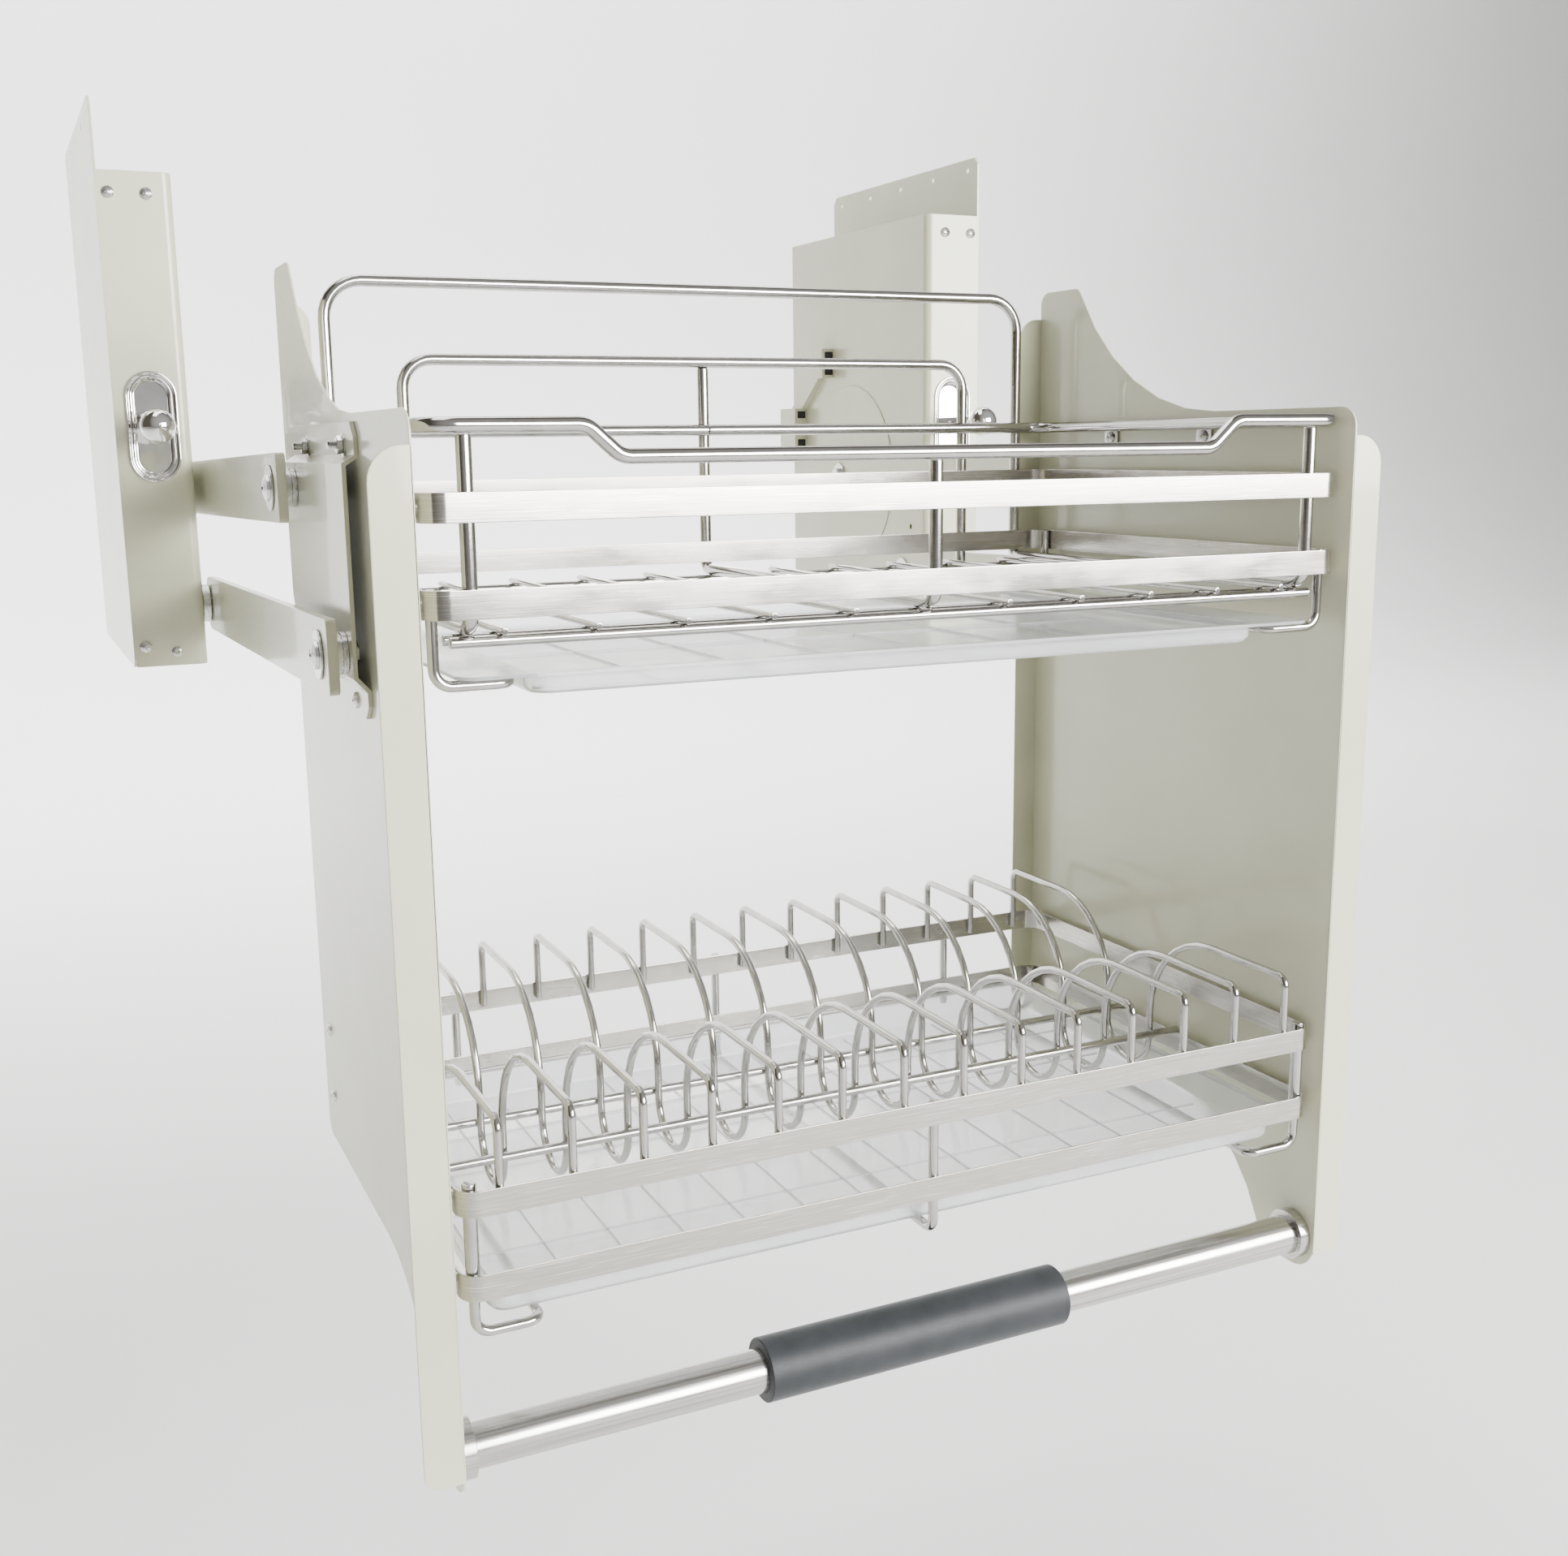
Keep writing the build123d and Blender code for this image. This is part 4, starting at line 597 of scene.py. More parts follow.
# ---------------------------------------------------------------- lower pivot studs
# Turned steel studs, zinc plated and riveted to the mounting plate: a broad collar behind the arm,
# a washer in front of it and a domed head.
stud_seat = 313.7
stud_profile = ((-66.3, 5), (-13.4, 5), (-13.4, 14.2), (-12.6, 15), (-7.4, 15), (-6.7, 14.2),
                (-6.7, 5), (0, 5), (0.1, 12), (1.2, 11.9), (1.3, 8.2), (2.2, 7.8), (3.4, 6.0),
                (4.1, 3.0), (4.3, 0))
stud = turn(stud_profile, face_in(stud_at + at(stud_seat, 0)), sides=28)
hand_over_zinc("lower_studs_turned", [stud], "housings", "lower_pivot_studs")

# ---------------------------------------------------------------- side panels
# One folded steel sheet per side: a swept top with a rear fin, a front flange turned outwards, a
# rear flange turned inwards, a curved skirt and a round foot that holds the handle. Cream coat.
basket_corner = at(0, -589, -380)
panel_inner, panel_outer = 294.5, 296
panel_depth = 352
panel_corners = ((0, 564.5), (242.1, 564.5), (300.8, 660), (panel_depth, 660), (panel_depth, 70),
                 (88.8, 70), (51.1, -17), (0, -17))
panel_bends = (13, 190, 10, 10, 10, 115, 15, 21)
front_flange = rectangle(panel_inner, 317, -3, 547)
rear_flange = rectangle(275, panel_outer, 80, 640)
fold_corner = 1.4
panel_edge, flange_edge = 0.5, 0.6


def in_basket(x, y, z):
    """A point given in millimetres from the lower front corner of the basket."""
    return basket_corner + Vector((x, y, z)) * mm


def fold_side_panel():
    sheet = cut_sheet(panel_corners, panel_bends, sheet_wall, face_out(in_basket(panel_inner, 0, 0)),
                      panel_edge)
    front = cut_sheet(front_flange, [fold_corner, 18, 10, fold_corner], sheet_wall,
                      face_user(in_basket(0, sheet_wall, 0)), flange_edge)
    rear = cut_sheet(rear_flange, [15, fold_corner, fold_corner, 10], sheet_wall,
                     face_user(in_basket(0, panel_depth, 0)), flange_edge)
    return gather(sheet, front, rear)


hand_over_both("panel_sheet", fold_side_panel, "basket", cream_coat, "side_panel")

# ---------------------------------------------------------------- arm brackets
# Pressed steel plates in the cream coat, bolted to the side panels and joggled away from them
# to leave room for the pivots' nuts. They keep their CAD form with soft edges.
for side in ("left", "right"):
    soften(f"{side}_arm_bracket", 0.5, cream_coat)

# ---------------------------------------------------------------- bracket bolts
# Above, studs of the rail's lugs come through panel and bracket and end in hexagon nuts.
# Below, cross-head screws hold the bracket; their nuts show inside the panel.
bracket_face = 298.5
stud_nut_x, stud_end_x = 299.4, 302.6
lug_inner = 292.5
lug_screw_y, lug_screw_z = (144, 252), 547.5
low_screw_y, low_screw_z = (149, 222), 405
thread_pitch = 0.8
stud_washer = ((0, 6.2), (0.9, 6.2), (1, 0))


def outside(x, y, z):
    """Where a drawing looks outwards from the right side of the basket."""
    return face_out(in_basket(x, y, z))


def inside(x, y, z):
    """Where a drawing looks inwards from the right side of the basket."""
    return face_in(in_basket(x, y, z))


def hexagon_nut(radius, height, lay):
    mesh = bmesh.new()
    bmesh.ops.create_cone(mesh, cap_ends=True, segments=6, radius1=radius * mm, radius2=radius * mm,
                          depth=height * mm, matrix=Matrix.Translation(at(0, 0, height / 2)))
    rims = [e for e in mesh.edges if abs(e.verts[0].co.z - e.verts[1].co.z) < 0.01 * mm]
    round_off(mesh, rims, 0.45, segments=1)
    bmesh.ops.transform(mesh, matrix=lay, verts=mesh.verts)
    return mesh


def threaded_end(radius, length, lay):
    """A bolt end whose thread shows as fine rings."""
    rings = [(0, radius)]
    for step in range(int(length / thread_pitch)):
        rings += [((step + 0.5) * thread_pitch, radius * 0.86), ((step + 1) * thread_pitch, radius)]
    return turn(rings + [(length + 0.4, radius * 0.7), (length + 0.4, 0)], lay, sides=16)


bolts = []
for y in lug_screw_y:
    bolts += [turn(stud_washer, outside(bracket_face, y, lug_screw_z)),
              hexagon_nut(5.0, 3.4, outside(stud_nut_x, y, lug_screw_z)),
              threaded_end(2.6, 4.5, outside(stud_end_x, y, lug_screw_z)),
              cross_head(4.2, 2.4, inside(lug_inner, y, lug_screw_z))]
for y in low_screw_y:
    bolts += [cross_head(4.6, 2.6, outside(bracket_face, y, low_screw_z)),
              hexagon_nut(4.2, 2.4, inside(panel_inner, y, low_screw_z))]
hand_over_zinc("bracket_fasteners", bolts, "basket", "bracket_bolts")

# ---------------------------------------------------------------- front pivots
# Each arm turns on a domed cross-head bolt with a broad washer, and a turned ring with one groove
# holds it off the bracket.
pivot_places = ((268, 522.5), (138, 433.5))
pivot_head_x, pivot_nut_x, pivot_shank_x = 321.5, 298.6, 302.9
washer_x, bush_x = 320.3, 305.5
shank_profile = ((0, 4), (19, 4))
washer_profile = ((0, 4.3), (0, 13.8), (0.25, 14), (0.9, 14), (1.15, 13.7), (1.15, 4.3), (0, 4.3))
bush_profile = ((0, 4.2), (0, 11.6), (0.3, 12), (3.0, 12), (3.2, 10.8), (3.9, 10.8), (4.1, 12),
                (7.9, 12), (8.1, 11.6), (8.1, 4.2), (0, 4.2))
pivot_bolts = [cross_head(8, 3.7, outside(pivot_head_x, y, z), 0.5) for y, z in pivot_places]
pivot_bolts += [hexagon_nut(7, 4.4, outside(pivot_nut_x, y, z)) for y, z in pivot_places]
pivot_bolts += [turn(shank_profile, outside(pivot_shank_x, y, z)) for y, z in pivot_places]
hand_over_zinc("pivot_bolt_heads", pivot_bolts, "basket", "front_pivot_bolts")
washers = [turn(washer_profile, outside(washer_x, y, z), sides=36) for y, z in pivot_places]
hand_over_zinc("pivot_washer_discs", washers, "basket", "front_pivot_washers")
bushes = [turn(bush_profile, outside(bush_x, y, z), sides=36) for y, z in pivot_places]
hand_over_zinc("pivot_bush_rings", bushes, "basket", "front_pivot_bushes")

# ---------------------------------------------------------------- bands
# Four flat stainless strips, 15 mm high and bent to closed rectangles, brushed along their length.
# Fine scratches run along them too; short bosses hold them off the side panels.
band_x, band_front, band_rear = 290, 4.5, 340.65
band_thick, band_height = 1.5, 15
band_corner, band_edge = 12, 0.4
band_tops = {"upper_band_top": 523.8, "upper_band_bottom": 476.1, "lower_band_top": 160.3,
             "lower_band_bottom": 112.4}
band_screw_y = (30, 325)
boss_profile = ((0, 5), (4.5, 5))


def make_brushed_band():
    finish, tree, shader = start_finish("brushed_band", Metallic=1.0)
    brush = surface_noise(tree, 1.0, (14, 14, 2600), detail=4.0)
    scratch = surface_noise(tree, 1.0, (40, 40, 3600), detail=0.0)
    mark = blend_tones(tree, scratch, (0.72, grey(0)), (0.75, grey(0.7)))
    scored = tree.nodes.new("ShaderNodeMix")
    scored.data_type = "RGBA"
    scored.inputs["B"].default_value = (0.92, 0.91, 0.89, 1)
    tree.links.new(mark, scored.inputs["Factor"])
    tree.links.new(blend_tones(tree, brush, (0.3, (0.42, 0.40, 0.36)), (0.7, (0.56, 0.54, 0.50))),
                   scored.inputs["A"])
    tree.links.new(scored.outputs["Result"], shader.inputs["Base Color"])
    wear = surface_noise(tree, 26.0, (1, 1, 2))
    vary(tree, shader, "Roughness", wear, (0.3, grey(0.16)), (0.75, grey(0.3)))
    raise_grain(tree, shader, brush, 0.10, 0.1)
    return finish


def field(half_width, front, rear, corner):
    """Corners and bends of a level rectangle in the basket."""
    return rectangle(-half_width, half_width, front, rear), [corner] * 4


def bend_band(top):
    """A closed strip: its footprint between two closed lines, drawn up to its height."""
    mesh = bmesh.new()
    outer = draw_outline(mesh, *field(band_x, band_front, band_rear, band_corner))
    inner = draw_outline(mesh, *field(band_x - band_thick, band_front + band_thick,
                                      band_rear - band_thick, band_corner - band_thick))
    bmesh.ops.bridge_loops(mesh, edges=outer + inner)
    raised = bmesh.ops.extrude_face_region(mesh, geom=mesh.faces[:])["geom"]
    bmesh.ops.translate(mesh, verts=pick(raised), vec=at(0, 0, band_height))
    bmesh.ops.recalc_face_normals(mesh, faces=mesh.faces)
    round_off(mesh, sharp_edges(mesh), band_edge)
    bmesh.ops.translate(mesh, verts=mesh.verts, vec=in_basket(0, 0, top - band_height))
    bosses = gather(*[turn(boss_profile, outside(band_x, y, top - band_height / 2), sides=16)
                      for y in band_screw_y])
    return gather(mesh, add_other_side(bosses))


brushed_band = make_brushed_band()
for name, top in band_tops.items():
    hand_over(f"{name}_strip", bend_band(top), "basket", brushed_band, name)
heads = [cross_head(4.2, 2.4, outside(panel_outer, y, top - band_height / 2))
         for top in band_tops.values() for y in band_screw_y]
hand_over_zinc("band_screw_heads", heads, "basket", "band_screws")

# ---------------------------------------------------------------- rods of the upper basket
# Polished stainless round rod, 8 mm: the top rail dips in front, the guards stand behind, and their
# rods run on under the floor and up as posts. All are bent cold and butt-welded to one another.
rod_radius = 4
rail_front, rail_rear, rail_side = 5.25, 336.65, 289.5
rail_z, rail_dip_z = 556, 540
guard_y, post_y, under_floor_z = 344.65, 10, 456
lug_corners, lug_bends = rectangle(-8, 8, -2, 15), (5, 5, 1, 1)
lug_thick, lug_edge = 2, 0.3


def make_polished_steel():
    finish, tree, shader = start_finish("polished_steel", Metallic=1.0)
    cloud = surface_noise(tree, 70.0)
    vary(tree, shader, "Base Color", cloud, (0.25, (0.42, 0.41, 0.39)), (0.75, (0.52, 0.51, 0.49)))
    fine = surface_noise(tree, 900.0, detail=2.0)
    vary(tree, shader, "Roughness", fine, (0.3, grey(0.11)), (0.7, grey(0.15)))
    raise_grain(tree, shader, fine, 0.01, 0.1)
    return finish


def bend_rod(corners, bends, radius, sides=16):
    """A round rod bent along corners given in the basket, with slightly rounded cut ends."""
    mesh = bmesh.new()
    corners = [in_basket(*corner) for corner in corners]
    lay = (corners[1] - corners[0]).to_track_quat("Z", "Y").to_matrix().to_4x4()
    bmesh.ops.create_circle(mesh, segments=sides, radius=radius * mm,
                            matrix=Matrix.Translation(corners[0]) @ lay)
    follow(mesh, mesh.edges[:], corners, [bend * mm for bend in bends])
    ends = bmesh.ops.holes_fill(mesh, edges=[e for e in mesh.edges if e.is_boundary])["faces"]
    bmesh.ops.recalc_face_normals(mesh, faces=mesh.faces)
    round_off(mesh, [e for f in ends for e in f.edges], radius * 0.25)
    return mesh


def both_ways(half, bends):
    """A route through the middle, from the corners of its right half."""
    other = [(-x, y, z) for x, y, z in reversed(half)]
    return other + list(half), list(reversed(bends)) + list(bends)


polished_steel = make_polished_steel()


def hand_over_rods(name, mesh, node):
    hand_over(name, mesh, "basket", polished_steel, node)


rail_half = [(187, rail_front, rail_dip_z), (205, rail_front, rail_z), (rail_side, rail_front, rail_z),
             (rail_side, rail_rear, rail_z)]
front_rail, front_bends = both_ways(rail_half, (12, 12, 18, 18))
closed_rail = [(0, rail_rear, rail_z), *front_rail, (0, rail_rear, rail_z)]
rail = [bend_rod(closed_rail, front_bends, rod_radius, 20)]
for y in lug_screw_y:
    for x in (-lug_inner - lug_thick, lug_inner):
        lay = lay_on(in_basket(x, y, rail_z), (0, -1, 0), (0, 0, -1))
        rail.append(cut_sheet(lug_corners, lug_bends, lug_thick, lay, lug_edge))
hand_over_rods("top_rail_rod", gather(*rail), "top_rail")

high_half = [(267, guard_y, 654), (267, guard_y, under_floor_z), (267, post_y, under_floor_z),
             (267, post_y, 552)]
high_rod = bend_rod(*both_ways(high_half, (25, 6, 10)), rod_radius, 20)
hand_over_rods("high_guard_rod", high_rod, "high_guard")
low_half = [(218, guard_y, 604), (218, guard_y, 446)]
low_rod = bend_rod(*both_ways(low_half, (20,)), rod_radius, 20)
hand_over_rods("low_guard_rod", low_rod, "low_guard")
middle_route = [(0, guard_y, 600), (0, guard_y, under_floor_z), (0, post_y, under_floor_z),
                (0, post_y, 536)]
hand_over_rods("middle_bar_rod", bend_rod(middle_route, (6, 10), rod_radius, 20), "middle_bar")

# ---------------------------------------------------------------- floor of the upper basket
# Polished stainless wire: four 6 mm cross rods with ten 4 mm wires laid on them, spot-welded
# where they cross.
cross_rod_y, cross_rod_end, cross_rod_z = (17, 31, 180, 337), 277, 449
floor_wire_pitch, floor_wire_end, floor_wire_z = 50, 340, 454
thin_rod_radius = 3
floor_wires = [bend_rod([(-cross_rod_end, y, cross_rod_z), (cross_rod_end, y, cross_rod_z)], (),
                        thin_rod_radius) for y in cross_rod_y]
for step in range(1, 6):
    for x in (-step * floor_wire_pitch, step * floor_wire_pitch):
        floor_wires.append(bend_rod([(x, post_y, floor_wire_z), (x, floor_wire_end, floor_wire_z)],
                                    (), 2, 12))
hand_over_rods("floor_wire_mat", gather(*floor_wires), "upper_floor_wires")

# ---------------------------------------------------------------- tray cradles
# A polished 6 mm rod under each end of a tray, spot-welded to the bands: it hangs down from them,
# turns in under the tray and runs back up.
hang_x, cradle_x, cradle_bend = 285.5, 245, 9
upper_front, upper_rear, upper_cradle_z = 17.5, 327, 427
upper_hang_z = band_tops["upper_band_bottom"]
upper_cradle = [(hang_x, upper_front, upper_hang_z), (hang_x, upper_front, upper_cradle_z),
                (cradle_x, upper_front, upper_cradle_z), (cradle_x, upper_rear, upper_cradle_z),
                (hang_x, upper_rear, upper_cradle_z), (hang_x, upper_rear, upper_hang_z)]
upper_rods = bend_rod(upper_cradle, [cradle_bend] * 4, thin_rod_radius)
hand_over_rods("upper_cradle_rods", add_other_side(upper_rods), "upper_tray_cradle")


def into_corner(radius):
    """How far a rod of a radius reaches into the round corner of a band, along each side."""
    return (band_corner - band_thick - radius - 0.3) / 2 ** 0.5


corner_x = band_x - band_corner + into_corner(rod_radius)
corner_y = band_front + band_corner - into_corner(rod_radius)
rear_hang_y = band_rear - band_corner + into_corner(thin_rod_radius)
lower_cradle_z, post_foot = 76, 97
lower_cradle = [(corner_x, corner_y, post_foot), (corner_x, corner_y, lower_cradle_z),
                (cradle_x, corner_y, lower_cradle_z), (cradle_x, rear_hang_y, lower_cradle_z),
                (corner_x, rear_hang_y, lower_cradle_z),
                (corner_x, rear_hang_y, band_tops["lower_band_bottom"])]
lower_rods = bend_rod(lower_cradle, [cradle_bend] * 4, thin_rod_radius)
hand_over_rods("lower_cradle_rods", add_other_side(lower_rods), "lower_tray_cradle")
behind_band, rack_top = band_rear + 3, band_tops["lower_band_top"]
support = [(0, 9, rack_top), (0, 9, lower_cradle_z), (0, behind_band, lower_cradle_z),
           (0, behind_band, rack_top)]
hand_over_rods("middle_support_rod", bend_rod(support, (8, 8), thin_rod_radius), "middle_support")

# ---------------------------------------------------------------- posts of the plate rack
# Polished stainless rod, spot-welded to the lower bands: short thick posts in the front corners,
# and thinner ones behind the rear of the bands.
post_top, rear_post_foot, rear_post_x = 163, 90, 204
posts = [bend_rod([(x, corner_y, post_foot), (x, corner_y, post_top)], (), rod_radius)
         for x in (-corner_x, corner_x)]
posts += [bend_rod([(x, behind_band, rear_post_foot), (x, behind_band, rack_top)], (),
                   thin_rod_radius) for x in (-rear_post_x, rear_post_x)]
hand_over_rods("rack_posts", gather(*posts), "lower_posts")

# ---------------------------------------------------------------- plate wires
# Fourteen 5 mm wires, each bent to a low round shoulder in front, a deep slot for the plate's edge
# and a high round back, spot-welded to two long rods and to the bands.
wire_count, wire_pitch, wire_radius = 14, 41, 2.5
wire_rear, wire_front, wire_foot = 336.65, 8.5, 149
slot_rear, slot_front = 202, 150
wire_top, slot_floor = 197, 87
wire_bends = (7, 66, 26, 25.9, 66, 7)
long_rod_y, long_rod_end, long_rod_z = (207.5, 144.5), 288, 115.4


def bend_plate_wire(x):
    route = [(x, wire_rear, wire_foot), (x, wire_rear, wire_top), (x, slot_rear, wire_top),
             (x, slot_rear, slot_floor), (x, slot_front, slot_floor), (x, slot_front, wire_top),
             (x, wire_front, wire_top), (x, wire_front, wire_foot)]
    return bend_rod(route, wire_bends, wire_radius, 12)


wires = [bend_plate_wire((index - (wire_count - 1) / 2) * wire_pitch) for index in range(wire_count)]
hand_over_rods("plate_wire_rack", gather(*wires), "plate_wires")
long_rods = [bend_rod([(-long_rod_end, y, long_rod_z), (long_rod_end, y, long_rod_z)], (),
                      thin_rod_radius) for y in long_rod_y]
hand_over_rods("plate_long_rods", gather(*long_rods), "plate_rods")

# ---------------------------------------------------------------- drip trays
# Clear moulded trays, lightly frosted: the upper one hangs by a broad lip, the lower one is deeper.
# Their floors carry a grid of low ribs that keeps the water from spreading.
tray_wall = 1.8
rib_half, rib_height, rib_edge = 0.5, 1.3, 0.3
upper_steps = ((275, 8, 335, 12, 432.1), (237, 14, 329, 14, 432.1), (235.2, 15.8, 327.2, 13, 431.2),
               (234.6, 16.4, 326.6, 12.4, 424), (232.6, 18.4, 324.6, 10.8, 421.7),
               (229, 22, 321, 8, 421.1))
lower_steps = ((276, 15.5, 337.5, 12, 100.9), (272, 19.5, 333.5, 11, 100.9),
               (270.4, 21.1, 331.9, 10, 100), (269.8, 21.7, 331.3, 9.6, 84),
               (267.8, 23.7, 329.3, 8, 81.4), (264, 27.5, 325.5, 5, 80.8))


def make_clear_tray():
    finish, tree, shader = start_finish("clear_tray", Transmission_Weight=0.72, IOR=1.42)
    cloud = surface_noise(tree, 24.0)
    vary(tree, shader, "Base Color", cloud, (0.3, (0.88, 0.90, 0.91)), (0.7, (0.97, 0.98, 0.985)))
    vary(tree, shader, "Roughness", cloud, (0.3, grey(0.1)), (0.7, grey(0.2)))
    return finish


def mould_tray(steps, half_width, front, rear, across, along):
    """A tray: its inner side skinned from the lip down, given its wall, with low ribs on its floor."""
    mesh = skin_outlines([(*field(*step), height) for *step, height in steps])
    if mesh.faces[0].normal.z < 0:
        bmesh.ops.reverse_faces(mesh, faces=mesh.faces)
    bmesh.ops.solidify(mesh, geom=mesh.faces[:], thickness=tray_wall * mm)
    bmesh.ops.recalc_face_normals(mesh, faces=mesh.faces)
    bmesh.ops.translate(mesh, verts=mesh.verts, vec=basket_corner)
    ribs = []
    for step in range(1, across):
        x = -half_width + step * half_width * 2 / across
        ribs.append((x - rib_half, x + rib_half, front, rear))
    for step in range(1, along):
        y = front + step * (rear - front) / along
        ribs.append((-half_width, half_width, y - rib_half, y + rib_half))
    lay = Matrix.Translation(in_basket(0, 0, steps[-1][-1] - 0.1))
    return gather(mesh, *[cut_sheet(rectangle(*rib), [rib_edge] * 4, rib_height, lay, rib_edge)
                          for rib in ribs])


clear_tray = make_clear_tray()
hand_over("upper_tray_shell", mould_tray(upper_steps, 224, 27, 316, across=7, along=2),
          "upper_tray", clear_tray, "upper_drip_tray")
hand_over("lower_tray_shell", mould_tray(lower_steps, 260, 31, 322, across=13, along=5),
          "basket", clear_tray, "lower_drip_tray")

# ---------------------------------------------------------------- handle
# A satin 26 mm steel tube between round collars on the panels' feet, each held by one screw,
# with a matt dark grey rubber sleeve pushed on its middle.
handle_y, handle_z = 20, 6
tube_end, tube_radius, tube_bore = 291.5, 13, 11.5
grip_x, grip_half, grip_radius, grip_edge = -7, 104, 19, 0.7
sleeve_bore = 13.2
collar_profile = ((-5, sleeve_bore), (-5, 16.6), (-4.6, 17), (2.9, 17), (3, 16), (3, 0))


def make_grip_rubber():
    finish, tree, shader = start_finish("grip_rubber", Specular_IOR_Level=0.3, Sheen_Weight=0.06,
                                        Sheen_Roughness=0.5)
    cloud = surface_noise(tree, 60.0)
    vary(tree, shader, "Base Color", cloud, (0.3, (0.018, 0.020, 0.022)), (0.75, (0.028, 0.030, 0.033)))
    pores = surface_noise(tree, 1400.0, detail=2.0)
    vary(tree, shader, "Roughness", pores, (0.3, grey(0.44)), (0.75, grey(0.6)))
    raise_grain(tree, shader, pores, 0.25, 0.15)
    return finish


def make_satin_tube():
    finish, tree, shader = start_finish("satin_tube", Metallic=1.0)
    streak = surface_noise(tree, 1.0, (5, 700, 700), detail=4.0)
    vary(tree, shader, "Base Color", streak, (0.3, (0.42, 0.405, 0.375)), (0.7, (0.66, 0.65, 0.625)))
    vary(tree, shader, "Roughness", streak, (0.3, grey(0.17)), (0.7, grey(0.27)))
    raise_grain(tree, shader, streak, 0.06, 0.1)
    return finish


satin_tube = make_satin_tube()
tube_profile = ((-tube_end, tube_bore), (-tube_end, tube_radius), (tube_end, tube_radius),
                (tube_end, tube_bore), (-tube_end, tube_bore))
tube = turn(tube_profile, outside(0, handle_y, handle_z), sides=48)
hand_over("handle_tube_satin", tube, "basket", satin_tube, "handle_tube")
grip_profile = ((-grip_half, sleeve_bore), (-grip_half, grip_radius - grip_edge),
                (-grip_half + grip_edge, grip_radius), (grip_half - grip_edge, grip_radius),
                (grip_half, grip_radius - grip_edge), (grip_half, sleeve_bore),
                (-grip_half, sleeve_bore))
grip = turn(grip_profile, outside(grip_x, handle_y, handle_z), sides=48)
hand_over("grip_sleeve", grip, "basket", make_grip_rubber(), "handle_grip")
collar = turn(collar_profile, outside(tube_end, handle_y, handle_z), sides=40)
hand_over("handle_end_collars", add_other_side(collar), "basket", satin_tube,
          "handle_collars")
screw = cross_head(6, 2.5, outside(panel_outer, handle_y, handle_z))
hand_over_zinc("handle_screw_heads", [screw], "basket", "handle_screws")

# ---------------------------------------------------------------- studio
# A pale floor that curves up into a backdrop, a soft light in front, one above, one each on floor
# and backdrop, a room that is dark but for its front, and the photograph's camera. In metres.
floor_z = -0.62
cove_half = 14
cove_route = [Vector((0, -8, floor_z)), Vector((0, 5, floor_z)), Vector((0, 5, 9))]
cove_bend = 2.5


def make_studio_floor():
    finish, tree, shader = start_finish("studio_floor", Specular_IOR_Level=0.2)
    cloud = surface_noise(tree, 1.5)
    vary(tree, shader, "Base Color", cloud, (0.3, grey(0.86)), (0.7, grey(0.88)))
    vary(tree, shader, "Roughness", cloud, (0.3, grey(0.8)), (0.7, grey(0.9)))
    return finish


cove = bmesh.new()
bmesh.ops.create_vert(cove, co=cove_route[0] - Vector((cove_half, 0, 0)))
wide = bmesh.ops.extrude_vert_indiv(cove, verts=cove.verts[:])
bmesh.ops.translate(cove, verts=wide["verts"], vec=(2 * cove_half, 0, 0))
follow(cove, wide["edges"], cove_route, [cove_bend])
data = bpy.data.meshes.new("studio_cove")
cove.to_mesh(data)
cove.free()
data.shade_smooth()
data.materials.append(make_studio_floor())
backdrop = bpy.data.objects.new("studio_cove", data)
bpy.context.collection.objects.link(backdrop)


def hang_light(name, place, target, size, power, spread):
    lamp = bpy.data.lights.new(name, "AREA")
    lamp.shape = "RECTANGLE"
    lamp.size, lamp.size_y = size
    lamp.energy = power
    lamp.spread = radians(spread)
    light = bpy.data.objects.new(name, lamp)
    light.location = place
    light.rotation_euler = (Vector(target) - Vector(place)).to_track_quat("-Z", "Y").to_euler()
    bpy.context.collection.objects.link(light)


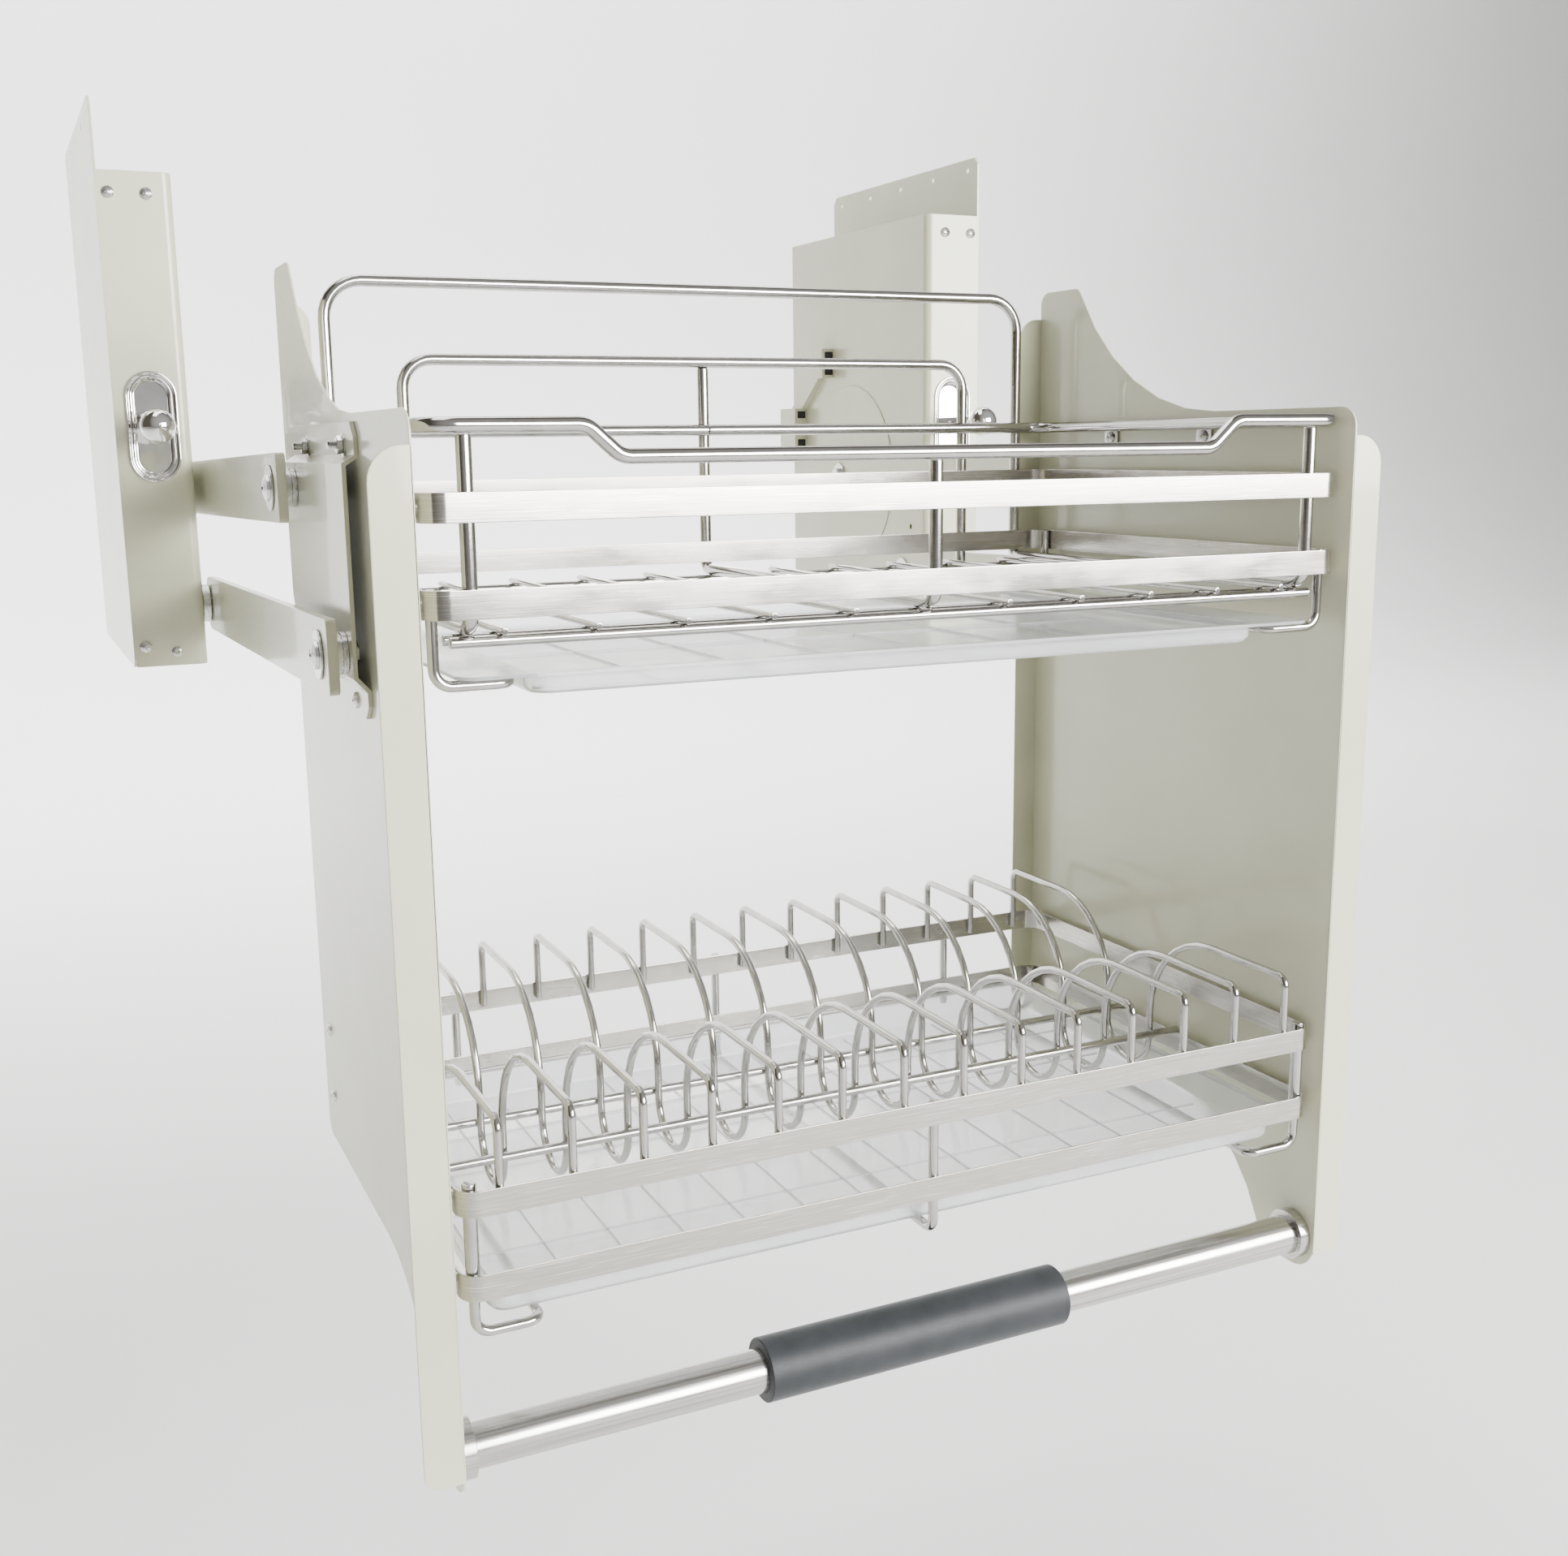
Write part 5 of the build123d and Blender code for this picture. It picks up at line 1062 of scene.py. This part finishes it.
hang_light("key_softbox", (1.4, -3.0, 0.75), (0, -0.4, 0.2), (2.4, 1.4), 140, 110)
hang_light("top_softbox", (-0.3, 0.0, 2.6), (0, -0.2, 0), (2.4, 0.9), 35, 180)
hang_light("floor_wash", (0, 2.6, 2.9), (0, 2.4, -0.6), (7.0, 3.0), 210, 90)
hang_light("backdrop_wash", (0, 2.4, 3.6), (0, 5, 1.8), (9.0, 1.2), 420, 150)
studio = bpy.data.worlds.new("studio_air")
studio.use_nodes = True
air = studio.node_tree
where = air.nodes.new("ShaderNodeTexCoord")
facing = air.nodes.new("ShaderNodeVectorMath")
facing.operation = "DOT_PRODUCT"
facing.inputs[1].default_value = (0.45, -0.85, 0.28)
air.links.new(where.outputs["Generated"], facing.inputs[0])
span = air.nodes.new("ShaderNodeMapRange")
span.inputs["From Min"].default_value = -1
span.inputs["From Max"].default_value = 1
air.links.new(facing.outputs["Value"], span.inputs["Value"])
vary(air, air.nodes["Background"], "Color", span.outputs["Result"], (0.0, (0.11, 0.095, 0.075)),
     (0.60, (0.12, 0.105, 0.085)), (0.80, (0.42, 0.41, 0.39)), (1.0, (0.55, 0.55, 0.54)))
air.nodes["Background"].inputs["Strength"].default_value = 1.1
bpy.context.scene.world = studio

photo_width, photo_height = 1932, 1917
focal_pixels = 2105.19
middle_x, middle_y = 970.04, 965.48
sensor_width = 36
camera_yaw, camera_pitch, camera_roll = -0.4408, -0.1951, 0.0116
lens = bpy.data.cameras.new("photo_camera")
lens.sensor_fit = "HORIZONTAL"
lens.sensor_width = sensor_width
lens.lens = sensor_width * focal_pixels / photo_width
lens.shift_x = (photo_width / 2 - middle_x) / photo_width
lens.shift_y = (middle_y - photo_height / 2) / photo_width
lens.clip_start = 0.05
camera = bpy.data.objects.new("photo_camera", lens)
look = Matrix.Rotation(camera_yaw, 4, "Z") @ Matrix.Rotation(camera_pitch, 4, "X") \
    @ Matrix.Rotation(camera_roll, 4, "Y") @ Matrix.Rotation(pi / 2, 4, "X")
camera.matrix_world = Matrix.Translation(in_basket(-488.94, -827.47, 544.12)) @ look
bpy.context.collection.objects.link(camera)
bpy.context.scene.camera = camera
